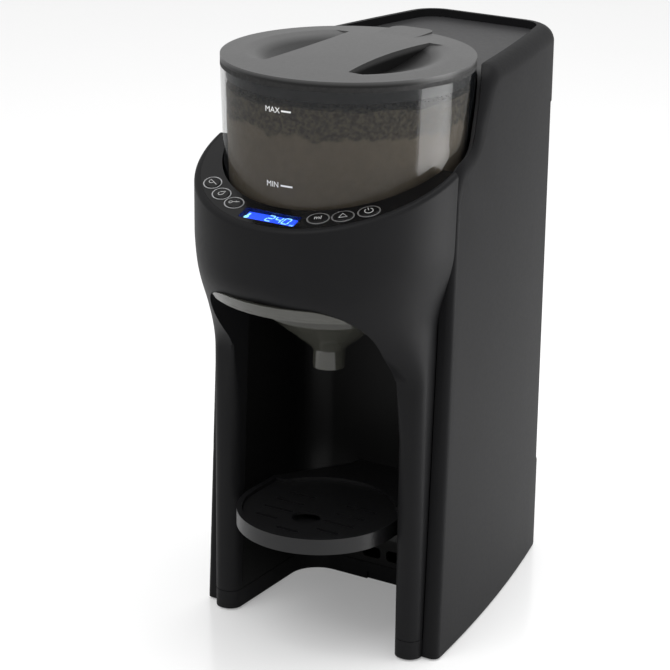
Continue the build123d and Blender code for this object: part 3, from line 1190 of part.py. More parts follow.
def export(pieces):
    """Write one STEP file for each piece, moved so that the origin is under the middle."""
    os.makedirs("parts", exist_ok=True)
    place = Location((0, SHIFT_Y, 0))
    for name, piece in pieces.items():
        solids = [solid for item in (piece if isinstance(piece, list) else [piece]) for solid in item.solids()]
        whole = Compound([place * solid for solid in solids]) if len(solids) > 1 else place * solids[0]
        export_step(whole, "parts/" + name + ".step")


export(build())
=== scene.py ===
"""A baby formula maker: finishes, display, markings and powder round the fixed frame."""
from __future__ import annotations

import json
import logging
import math
from collections.abc import Sequence
from dataclasses import dataclass, field
from enum import Enum

import bmesh
import bpy
from mathutils import Matrix, Vector, noise

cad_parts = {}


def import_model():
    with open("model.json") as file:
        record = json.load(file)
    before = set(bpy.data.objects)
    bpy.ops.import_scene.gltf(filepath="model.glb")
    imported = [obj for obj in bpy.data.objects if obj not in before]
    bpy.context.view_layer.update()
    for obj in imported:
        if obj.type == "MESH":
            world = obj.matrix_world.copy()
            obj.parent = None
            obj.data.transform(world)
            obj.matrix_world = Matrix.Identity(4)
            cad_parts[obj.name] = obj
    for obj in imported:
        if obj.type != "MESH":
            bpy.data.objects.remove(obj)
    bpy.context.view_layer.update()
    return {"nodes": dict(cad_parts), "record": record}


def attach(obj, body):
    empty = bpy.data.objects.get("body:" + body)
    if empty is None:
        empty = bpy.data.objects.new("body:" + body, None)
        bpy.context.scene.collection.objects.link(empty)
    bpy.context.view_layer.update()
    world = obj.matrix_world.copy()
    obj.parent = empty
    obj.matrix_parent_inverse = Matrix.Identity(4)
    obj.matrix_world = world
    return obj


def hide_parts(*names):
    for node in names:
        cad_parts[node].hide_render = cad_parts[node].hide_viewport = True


LOG = logging.getLogger("formula_maker")
Pair = tuple[float, float]
Point = tuple[float, float, float]
Colour = tuple[float, float, float, float]

# Sizes and places are in millimetres, and those whose name ends in _m are in metres. Patterns in a finish
# are given as features per metre.
MM = 0.001
AXIS_Y = -41.5
LID_FACE_Z = 364.4
# The depth below the lid's upper face over which its painted shade darkens.
PAINTED_SHADE_DEPTH = 2.2
PRINT_LIFT = 0.02
WELD_M = 0.000001
WHITE: Colour = (1.0, 1.0, 1.0, 1.0)


def place(x: float, y: float, z: float) -> Vector:
    """A point given in millimetres about the container's axis, in metres in the frame.

    Args:
        x: Distance to the right.
        y: Distance to the rear of the container's axis.
        z: Height over the table.

    Returns:
        The point in the frame.
    """
    return Vector((x * MM, (y + AXIS_Y) * MM, z * MM))


def srgb(red: float, green: float, blue: float) -> Colour:
    """The linear colour of an 8-bit screen colour.

    Args:
        red: 0 to 255.
        green: 0 to 255.
        blue: 0 to 255.

    Returns:
        Linear red, green, blue and an alpha of 1.
    """
    # The screen's own curve: a straight line up to its toe, and a power above it.
    toe = 10
    linear = [((c / 255 + 0.055) / 1.055) ** 2.4 if c > toe else c / 255 / 12.92 for c in (red, green, blue)]
    return (linear[0], linear[1], linear[2], 1.0)


def shade(colour: Colour, share: float) -> Colour:
    """A colour made darker or lighter.

    Args:
        colour: The colour.
        share: What it is multiplied by.

    Returns:
        The new colour, no lighter than white.
    """
    red, green, blue = (min(1.0, c * share) for c in colour[:3])
    return (red, green, blue, 1.0)


@dataclass(frozen=True)
class ContainerShape:
    """The container's tapered wall, in millimetres."""

    bottom_z: float = 259.0
    top_z: float = 358.5
    bottom_radius: float = 72.4
    top_radius: float = 76.0
    wall: float = 2.5

    def outer(self, z: float) -> float:
        """The wall's outer radius at a height.

        Args:
            z: Height over the table.

        Returns:
            The radius.
        """
        share = (z - self.bottom_z) / (self.top_z - self.bottom_z)
        return self.bottom_radius + share * (self.top_radius - self.bottom_radius)

    def on_wall(self, angle: float, z: float, lift: float) -> Vector:
        """A point over the wall's outside.

        Args:
            angle: Radians from the front towards the right.
            z: Height over the table.
            lift: Distance outside the wall; negative is inside.

        Returns:
            The point in the frame.
        """
        radius = self.outer(z) + lift
        return place(radius * math.sin(angle), -radius * math.cos(angle), z)


@dataclass(frozen=True)
class PanelPlane:
    """The tilted control panel's plane, in millimetres and degrees."""

    axis_z: float = 312.05
    tilt: float = 18.12
    button_circle: float = 83.4
    display_circle: float = 84.6

    def spot(self, radius: float, angle: float, across: Point) -> Vector:
        """A point over the panel, near a place on one of its circles.

        Args:
            radius: The circle's radius in plan.
            angle: Degrees from the front towards the right.
            across: Steps to the right, to the rear and out of the panel, turned with the place.

        Returns:
            The point in the frame.
        """
        tilt, turn = math.radians(self.tilt), math.radians(angle)
        right, back, out = across
        u = radius * math.sin(turn) + right * math.cos(turn) - back * math.sin(turn)
        v = -radius * math.cos(turn) / math.cos(tilt) + right * math.sin(turn) + back * math.cos(turn)
        y = v * math.cos(tilt) - out * math.sin(tilt)
        return place(u, y, self.axis_z + v * math.sin(tilt) + out * math.cos(tilt))


CONTAINER = ContainerShape()
PANEL = PanelPlane()


# ------------------------------------------------------------------ finishes
class Pattern(Enum):
    """A face's fine relief: its features per metre, its detail and its depth in metres."""

    SPARK = (2600.0, 2.0, 0.00006)
    POLISHED = (90.0, 2.0, 0.0002)
    WAVY = (120.0, 1.0, 0.0002)
    MATT = (900.0, 3.0, 0.0001)


class TreeSketch:
    """A node tree that is being built."""

    def __init__(self, tree: bpy.types.NodeTree) -> None:
        """Empties the tree.

        Args:
            tree: The tree.
        """
        self.tree = tree
        tree.nodes.clear()

    def node(self, kind: str, sockets: dict[str | int, object] | None = None,
             **settings: object) -> bpy.types.Node:
        """A new node with its settings, its values and its links.

        Args:
            kind: Blender's node type.
            sockets: A value, or another node's output, for each input it names.
            settings: Attributes of the node.

        Returns:
            The node.
        """
        made = self.tree.nodes.new(kind)
        for key, value in settings.items():
            setattr(made, key, value)
        for key, value in (sockets or {}).items():
            if isinstance(value, bpy.types.NodeSocket):
                self.tree.links.new(value, made.inputs[key])
            else:
                made.inputs[key].default_value = value
        return made


class ShaderSketch(TreeSketch):
    """One node material, built step by step on the piece's own coordinates."""

    def __init__(self, name: str) -> None:
        """Starts an empty material.

        Args:
            name: The material's name.
        """
        self.material = bpy.data.materials.new(name)
        self.material.use_nodes = True
        super().__init__(self.material.node_tree)
        self.coords = self.node("ShaderNodeTexCoord").outputs["Object"]

    def height(self) -> bpy.types.NodeSocket:
        """The height over the table, in metres."""
        return self.node("ShaderNodeSeparateXYZ", {"Vector": self.coords}).outputs["Z"]

    def noise(self, scale: float, detail: float = 2.0,
              stretch: Point = (1.0, 1.0, 1.0)) -> bpy.types.NodeSocket:
        """Noise on the piece's own coordinates.

        Args:
            scale: Features per metre.
            detail: Octaves.
            stretch: How the pattern is stretched along the axes.

        Returns:
            The noise's value.
        """
        spot = self.node("ShaderNodeMapping", {"Vector": self.coords, "Scale": stretch}).outputs["Vector"]
        texture = self.node("ShaderNodeTexNoise", {"Vector": spot, "Scale": scale, "Detail": detail})
        return texture.outputs["Fac"]

    def spread(self, value: bpy.types.NodeSocket, low: float, high: float,
               start: float = 0.3, end: float = 0.7) -> bpy.types.NodeSocket:
        """Maps a value between two limits.

        Args:
            value: What is mapped.
            low: The result at start.
            high: The result at end.
            start: Where the map starts.
            end: Where the map ends.

        Returns:
            The mapped value.
        """
        limits = {"Value": value, "From Min": start, "From Max": end, "To Min": low, "To Max": high}
        return self.node("ShaderNodeMapRange", limits).outputs["Result"]

    def blend(self, factor: bpy.types.NodeSocket, first: object, second: object) -> bpy.types.NodeSocket:
        """A mix of two colours, each a colour or a socket.

        Args:
            factor: The second colour's share.
            first: The first colour.
            second: The second colour.

        Returns:
            The mixed colour.
        """
        mix = self.node("ShaderNodeMix", {"Factor": factor, "A": first, "B": second}, data_type="RGBA")
        return mix.outputs["Result"]

    def tinted(self, colour: Colour, play: float, scale: float) -> bpy.types.NodeSocket:
        """A colour that varies a little over the piece.

        Args:
            colour: The middle colour.
            play: The share by which it gets darker and lighter.
            scale: Features per metre.

        Returns:
            The varied colour.
        """
        patches = self.spread(self.noise(scale, detail=3.0), 0.0, 1.0)
        return self.blend(patches, shade(colour, 1 - play), shade(colour, 1 + play))

    def bump(self, height: bpy.types.NodeSocket, strength: float, depth: float) -> bpy.types.NodeSocket:
        """A bumped normal.

        Args:
            height: The height value.
            strength: The bump's strength.
            depth: The height's size in metres.

        Returns:
            The normal.
        """
        relief = {"Height": height, "Strength": strength, "Distance": depth}
        return self.node("ShaderNodeBump", relief).outputs["Normal"]

    def finish(self, shader: bpy.types.NodeSocket) -> bpy.types.Material:
        """Joins the shader to the material's output.

        Args:
            shader: The finished surface shader.

        Returns:
            The material.
        """
        self.node("ShaderNodeOutputMaterial", {"Surface": shader})
        return self.material


@dataclass(frozen=True)
class Finish:
    """A finish: the name of its slot, its colour with a little play, and the range of its roughness."""

    name: str
    colour: Colour
    rough: Pair = (0.36, 0.44)
    tone: float = 0.03
    tone_scale: float = 55.0

    def surface(self, sketch: ShaderSketch) -> dict[str, object]:
        """What the surface shader gets."""
        return {"Base Color": sketch.tinted(self.colour, self.tone, self.tone_scale)}

    def build(self) -> bpy.types.Material:
        """Makes the material.

        Returns:
            The material.
        """
        sketch = ShaderSketch(self.name)
        return sketch.finish(sketch.node("ShaderNodeBsdfPrincipled", self.surface(sketch)).outputs["BSDF"])


@dataclass(frozen=True)
class Moulded(Finish):
    """A finish whose roughness plays a little over the piece, with the fine relief of its mould."""

    specular: float = 0.5
    pattern: Pattern | None = Pattern.SPARK
    grain: float = 0.10
    rough_scale: float = 420.0
    rough_detail: float = 3.0
    index: float = 1.5

    def surface(self, sketch: ShaderSketch) -> dict[str, object]:
        """The surface, even apart from its grain.

        Args:
            sketch: The material being built.

        Returns:
            A value or a socket for each of the shader's inputs that it names.
        """
        values = super().surface(sketch) | {
            "Roughness": sketch.spread(sketch.noise(self.rough_scale, self.rough_detail), *self.rough),
            "Specular IOR Level": self.specular,
            "IOR": self.index,
        }
        if self.pattern:
            scale, detail, depth = self.pattern.value
            values["Normal"] = sketch.bump(sketch.noise(scale, detail), self.grain, depth)
        return values


@dataclass(frozen=True)
class Plastic(Moulded):
    """A moulded plastic: satin with a fine grain, or polished, with painted shade darkening its recesses if
    it has any.
    """

    painted_shade_top: float | None = None
    painted_shade_share: float = 0.06

    def surface(self, sketch: ShaderSketch) -> dict[str, object]:
        """The surface, with painted shade that darkens it from the upper face down into the recesses.

        Args:
            sketch: The material being built.

        Returns:
            A value or a socket for each of the shader's inputs that it names.
        """
        values = super().surface(sketch)
        if self.painted_shade_top is not None:
            # Painted shade: the colour darkens over a few millimetres below the upper face, standing in for
            # the shade in the recesses.
            top = self.painted_shade_top * MM
            rise = sketch.spread(sketch.height(), 0.0, 1.0, top - PAINTED_SHADE_DEPTH * MM, top)
            painted_shade_colour = shade(self.colour, self.painted_shade_share)
            values["Base Color"] = sketch.blend(rise, painted_shade_colour, values["Base Color"])
        return values


@dataclass(frozen=True)
class ClearPlastic(Moulded):
    """A smoke-tinted clear plastic that shows what is inside it."""

    rough: Pair = (0.056, 0.112)
    specular: float = 0.7
    pattern: Pattern | None = Pattern.WAVY
    grain: float = 0.04
    tone: float = 0.08
    tone_scale: float = 30.0
    rough_scale: float = 70.0
    rough_detail: float = 2.0
    opacity: float = 0.5

    def surface(self, sketch: ShaderSketch) -> dict[str, object]:
        """The surface, see-through."""
        return super().surface(sketch) | {"Alpha": self.opacity}


@dataclass(frozen=True)
class Metal(Finish):
    """A brushed or polished metal."""

    rough: Pair = (0.2, 0.35)
    tone: float = 0.06
    tone_scale: float = 80.0
    line_scale: float = 1800.0
    line_stretch: Point = (1.0, 1.0, 0.05)
    line_height: float = 0.08
    line_depth_m: float = 0.00005

    def surface(self, sketch: ShaderSketch) -> dict[str, object]:
        """The surface, with fine lines that run up the piece.

        Args:
            sketch: The material being built.

        Returns:
            A value or a socket for each of the shader's inputs that it names.
        """
        lines = sketch.noise(self.line_scale, detail=3.0, stretch=self.line_stretch)
        return super().surface(sketch) | {
            "Metallic": 1.0,
            "Roughness": sketch.spread(lines, *self.rough),
            "Normal": sketch.bump(lines, self.line_height, self.line_depth_m),
        }


@dataclass(frozen=True)
class Rubber(Moulded):
    """A matt rubber or silicone."""

    rough: Pair = (0.6, 0.8)
    pattern: Pattern | None = Pattern.MATT
    grain: float = 0.2
    tone: float = 0.1
    tone_scale: float = 120.0
    rough_scale: float = 400.0


@dataclass(frozen=True)
class Lit(Moulded):
    """A lit part of the display, or a printed mark that glows a little as painted light to stay bright."""

    rough: Pair = (0.3, 0.4)
    pattern: Pattern | None = None
    tone: float = 0.1
    tone_scale: float = 60.0
    rough_scale: float = 300.0
    rough_detail: float = 2.0
    glow: float = 1.0

    def surface(self, sketch: ShaderSketch) -> dict[str, object]:
        """The surface, glowing in its own colour."""
        values = super().surface(sketch)
        return values | {"Emission Color": values["Base Color"], "Emission Strength": self.glow}


@dataclass(frozen=True)
class Powder(Finish):
    """Milk powder against the smoky wall: packed below, loose and darker above, with painted shade in the
    gaps between its clumps.
    """

    name: str = "milk_powder"
    colour: Colour = srgb(126, 114, 95)
    loose: Colour = srgb(104, 94, 74)
    painted_gap_shade: float = 0.28
    loose_from: float = 337.5
    ragged: float = 9.0
    edge_width: float = 2.0
    edge_scale: float = 70.0
    crumb_scale: float = 420.0
    crumb_range: Pair = (0.38, 0.62)
    detail: float = 5.0
    tone: float = 0.08
    tone_scale: float = 220.0
    rough: Pair = (0.8, 0.95)
    relief: float = 0.15
    relief_depth_m: float = 0.0003

    def surface(self, sketch: ShaderSketch) -> dict[str, object]:
        """The surface: two zones with a ragged edge between them.

        Args:
            sketch: The material being built.

        Returns:
            A value or a socket for each of the shader's inputs that it names.
        """
        wander = {0: sketch.noise(self.edge_scale, self.detail), 1: 2 * self.ragged * MM, 2: sketch.height()}
        shifted = sketch.node("ShaderNodeMath", wander, operation="MULTIPLY_ADD").outputs[0]
        edge = self.loose_from * MM
        upper = sketch.spread(shifted, 0.0, 1.0, edge, edge + self.edge_width * MM)
        crumbs = sketch.noise(self.crumb_scale, self.detail)
        # Painted shade: the gaps between the crumbs get a darker colour, standing in for the shadows among
        # the clumps.
        painted_shade_clump_mask = sketch.spread(crumbs, 0.0, 1.0, *self.crumb_range)
        loose_zone = sketch.blend(painted_shade_clump_mask, shade(self.loose, self.painted_gap_shade), self.loose)
        packed_zone = super().surface(sketch)["Base Color"]
        return {
            "Base Color": sketch.blend(upper, packed_zone, loose_zone),
            "Roughness": sketch.spread(crumbs, *self.rough),
            "Normal": sketch.bump(crumbs, self.relief, self.relief_depth_m),
        }


@dataclass(frozen=True)
class Board(Finish):
    """A circuit board's green lacquer with its tracks showing through."""

    name: str = "board_green"
    colour: Colour = srgb(22, 90, 48)
    track_colour: Colour = srgb(46, 120, 66)
    track_scale: float = 260.0
    track_stretch: Point = (1.0, 0.2, 1.0)
    track_range: Pair = (0.5, 0.53)
    rough: Pair = (0.3, 0.45)
    relief: float = 0.2
    relief_depth_m: float = 0.0001

    def surface(self, sketch: ShaderSketch) -> dict[str, object]:
        """The surface, raised where a track runs.

        Args:
            sketch: The material being built.

        Returns:
            A value or a socket for each of the shader's inputs that it names.
        """
        lines = sketch.noise(self.track_scale, detail=0.0, stretch=self.track_stretch)
        tracks = sketch.spread(lines, 0.0, 1.0, *self.track_range)
        return {
            "Base Color": sketch.blend(tracks, self.colour, self.track_colour),
            "Roughness": sketch.spread(tracks, *self.rough),
            "Normal": sketch.bump(tracks, self.relief, self.relief_depth_m),
        }


@dataclass(frozen=True)
class Floor(Moulded):
    """The pale table: white to the camera, with the shadow and a faint reflection kept."""

    name: str = "pale_floor"
    colour: Colour = (0.86, 0.86, 0.86, 1.0)
    rough: Pair = (0.16, 0.20)
    pattern: Pattern | None = None
    tone: float = 0.005
    tone_scale: float = 3.0
    rough_scale: float = 5.0
    rough_detail: float = 2.0
    index: float = 2.0
    lift: float = 0.24

    def build(self) -> bpy.types.Material:
        """Makes the material, a little lighter to the camera than to the machine.

        Returns:
            The material.
        """
        sketch = ShaderSketch(self.name)
        shader = sketch.node("ShaderNodeBsdfPrincipled", self.surface(sketch))
        seen = sketch.node("ShaderNodeLightPath").outputs["Is Camera Ray"]
        glow = sketch.node("ShaderNodeEmission", {"Color": shade(WHITE, self.lift), "Strength": seen})
        both = sketch.node("ShaderNodeAddShader", {0: shader.outputs["BSDF"], 1: glow.outputs["Emission"]})
        return sketch.finish(both.outputs["Shader"])


GLOSS = {"pattern": Pattern.POLISHED, "grain": 0.02, "tone": 0.2, "specular": 0.2}
FINISHES: tuple[Finish, ...] = (
    Plastic("charcoal", srgb(29, 29, 30), rough=(0.42, 0.46), specular=0.08),
    Plastic("grey_shell", srgb(27, 27, 28), rough=(0.42, 0.45), specular=0.06),
    # The lid gets painted shade below its upper face, in its recesses.
    Plastic("lid_grey", srgb(82, 82, 82), rough=(0.36, 0.39), specular=0.3, painted_shade_top=LID_FACE_Z),
    Plastic("cover_grey", srgb(50, 50, 51), rough=(0.36, 0.40), specular=0.2),
    # The bay liner is darker than the body: partly its own black plastic, partly painted shade for the dim
    # bay.
    Plastic("liner_black", srgb(17, 17, 17), rough=(0.42, 0.47), specular=0.2),
    Plastic("tray_black", srgb(24, 24, 25), rough=(0.32, 0.38), specular=0.4),
    Plastic("panel_black", srgb(12, 12, 13), rough=(0.06, 0.10), **GLOSS),
    Plastic("button_black", srgb(14, 14, 15), rough=(0.10, 0.16), **GLOSS),
    Plastic("white_plastic", srgb(214, 213, 208)),
    Plastic("inner_grey", srgb(112, 112, 112)),
    ClearPlastic("smoke_clear", srgb(34, 36, 38), opacity=0.30),
    ClearPlastic("funnel_smoke", srgb(72, 72, 66), rough=(0.084, 0.168), opacity=0.82),
    ClearPlastic("tank_clear", srgb(60, 66, 72), opacity=0.5),
    ClearPlastic("display_pane", srgb(30, 60, 160), opacity=0.12),
    Lit("display_blue", srgb(38, 78, 248), glow=1.0),
    Lit("display_ink", srgb(150, 225, 255), glow=1.1),
    # Painted light: the prints are no lamps, but they glow a little to stay bright.
    Lit("print_white", srgb(226, 226, 226), glow=0.15),
    Lit("print_grey", srgb(190, 190, 190), glow=0.1),
    Metal("ring_silver", srgb(205, 205, 207), rough=(0.35, 0.5)),
    Metal("steel", srgb(175, 175, 175)),
    Rubber("rubber", srgb(22, 22, 22)),
    Rubber("silicone", srgb(120, 122, 124), rough=(0.4, 0.6)),
    Board(),
    Powder(),
)


@dataclass
class FinishShelf:
    """Every finish by the name of its slot."""

    finishes: dict[str, Finish] = field(default_factory=lambda: {made.name: made for made in FINISHES})
    built: dict[str, bpy.types.Material] = field(default_factory=dict)

    def get(self, slot: str) -> bpy.types.Material:
        """A finish's material, made when first asked for.

        Args:
            slot: The finish's name.

        Returns:
            The material.
        """
        if slot not in self.built:
            self.built[slot] = self.finishes[slot].build()
        return self.built[slot]


# ------------------------------------------------------------------ mesh helpers
def mesh_object(name: str, mesh: bpy.types.Mesh, material: bpy.types.Material) -> bpy.types.Object:
    """Links a mesh as a piece.

    Args:
        name: The piece's name.
        mesh: Its mesh, in the frame.
        material: Its finish.

    Returns:
        The piece.
    """
    mesh.materials.clear()
    mesh.materials.append(material)
    made = bpy.data.objects.new(name, mesh)
    bpy.context.scene.collection.objects.link(made)
    return made


def smooth_mesh(sketch: bmesh.types.BMesh, name: str, angle: float) -> bpy.types.Mesh:
    """Turns a sketch into a mesh that is smoothly shaded up to an angle.

    Args:
        sketch: The mesh being built.
        name: The mesh's name.
        angle: Edges sharper than this stay sharp, in degrees.

    Returns:
        The mesh.
    """
    limit = math.radians(angle)
    for face in sketch.faces:
        face.smooth = True
    for edge in sketch.edges:
        edge.smooth = len(edge.link_faces) == 2 and edge.calc_face_angle(0.0) < limit
    mesh = bpy.data.meshes.new(name)
    sketch.to_mesh(mesh)
    sketch.free()
    return mesh


def finish_mesh(sketch: bmesh.types.BMesh, name: str, angle: float = 35.0) -> bpy.types.Mesh:
    """Closes a sketch into a smoothly shaded mesh with outward faces.

    Args:
        sketch: The mesh being built.
        name: The mesh's name.
        angle: Edges sharper than this stay sharp, in degrees.

    Returns:
        The mesh.
    """
    bmesh.ops.remove_doubles(sketch, verts=sketch.verts, dist=WELD_M)
    bmesh.ops.recalc_face_normals(sketch, faces=sketch.faces)
    return smooth_mesh(sketch, name, angle)


def evaluated_mesh(source: bpy.types.Object) -> bpy.types.Mesh:
    """The mesh that an object's modifiers make.

    Args:
        source: The object with its modifiers.

    Returns:
        A new plain mesh.
    """
    graph = bpy.context.evaluated_depsgraph_get()
    return bpy.data.meshes.new_from_object(source.evaluated_get(graph), depsgraph=graph)


def curve_mesh(curve: bpy.types.Curve) -> bpy.types.Mesh:
    """The mesh of a curve or of text.

    Args:
        curve: The curve's data.

    Returns:
        A new plain mesh.
    """
    holder = bpy.data.objects.new(curve.name, curve)
    bpy.context.scene.collection.objects.link(holder)
    mesh = evaluated_mesh(holder)
    bpy.data.objects.remove(holder)
    return mesh


@dataclass
class NodeMesh(TreeSketch):
    """A geometry nodes tree with named inputs, ended by Realize Instances and Set Material."""

    name: str
    inputs: dict[str, tuple[str, object]]
    sockets: dict[str, str] = field(init=False, default_factory=dict)

    def __post_init__(self) -> None:
        """Makes the empty tree and its interface."""
        super().__init__(bpy.data.node_groups.new(self.name, "GeometryNodeTree"))
        face = self.tree.interface
        face.new_socket("Geometry", in_out="INPUT", socket_type="NodeSocketGeometry")
        for key, (kind, _) in self.inputs.items():
            self.sockets[key] = face.new_socket(key, in_out="INPUT", socket_type=kind).identifier
        face.new_socket("Geometry", in_out="OUTPUT", socket_type="NodeSocketGeometry")
        self.entry = self.node("NodeGroupInput").outputs

    def close(self, geometry: bpy.types.NodeSocket, material: bpy.types.Material) -> None:
        """Ends the tree.

        Args:
            geometry: What the tree has made.
            material: Its finish.
        """
        real = self.node("GeometryNodeRealizeInstances", {"Geometry": geometry}).outputs["Geometry"]
        paint = self.node("GeometryNodeSetMaterial", {"Geometry": real, "Material": material})
        self.node("NodeGroupOutput", {0: paint.outputs["Geometry"]})

    def run(self, base: bpy.types.Mesh) -> bpy.types.Mesh:
        """Runs the tree on a mesh.

        Args:
            base: The mesh that goes in.

        Returns:
            The plain mesh that comes out.
        """
        holder = bpy.data.objects.new(self.name, base)
        bpy.context.scene.collection.objects.link(holder)
        modifier = holder.modifiers.new(self.name, "NODES")
        modifier.node_group = self.tree
        for key, (_, value) in self.inputs.items():
            modifier[self.sockets[key]] = value
        made = evaluated_mesh(holder)
        bpy.data.objects.remove(holder)
        return made


# ------------------------------------------------------------------ sub-assemblies
@dataclass
class FrameDress:
    """The frame's own nodes, each with its finish and, where it is seen, merged and smoothly shaded."""

    nodes: dict[str, bpy.types.Object]
    bodies: dict[str, list[str]]
    slots: dict[str, str]
    shelf: FinishShelf
    smooth_angle: float = 32.0
    weld_m: float = 0.000004
    smoothed: tuple[str, ...] = (
        "front_housing", "outer_shell", "top_cover", "base_trim", "bay_liner", "control_panel",
        "container_lid", "lid_gasket", "bottle_tray", "tray_grille", "water_tank", "tank_lid",
        "mixing_funnel", "funnel_cover", "powder_container", "hopper_well",
    )

    def owner(self, node: str) -> str:
        """The body that a node rides on."""
        return next(body for body, members in self.bodies.items() if node in members)

    def smooth_copy(self, node: str) -> bpy.types.Object:
        """A merged copy of a node's mesh, smoothly shaded, that stands for the node.

        Args:
            node: The node's name.

        Returns:
            The piece.
        """
        sketch = bmesh.new()
        sketch.from_mesh(self.nodes[node].data)
        bmesh.ops.remove_doubles(sketch, verts=sketch.verts, dist=self.weld_m)
        mesh = smooth_mesh(sketch, node + "_dressed", self.smooth_angle)
        return mesh_object(mesh.name, mesh, self.shelf.get(self.slots[node]))

    def build(self) -> None:
        """Gives every node its finish, and those in sight their smooth copies."""
        for name, node in self.nodes.items():
            node.data.materials.clear()
            node.data.materials.append(self.shelf.get(self.slots[name]))
            if name in self.smoothed:
                piece = self.smooth_copy(name)
                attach(piece, self.owner(name))
                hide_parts(name)
            LOG.info("finish %s on %s", self.slots[name], name)


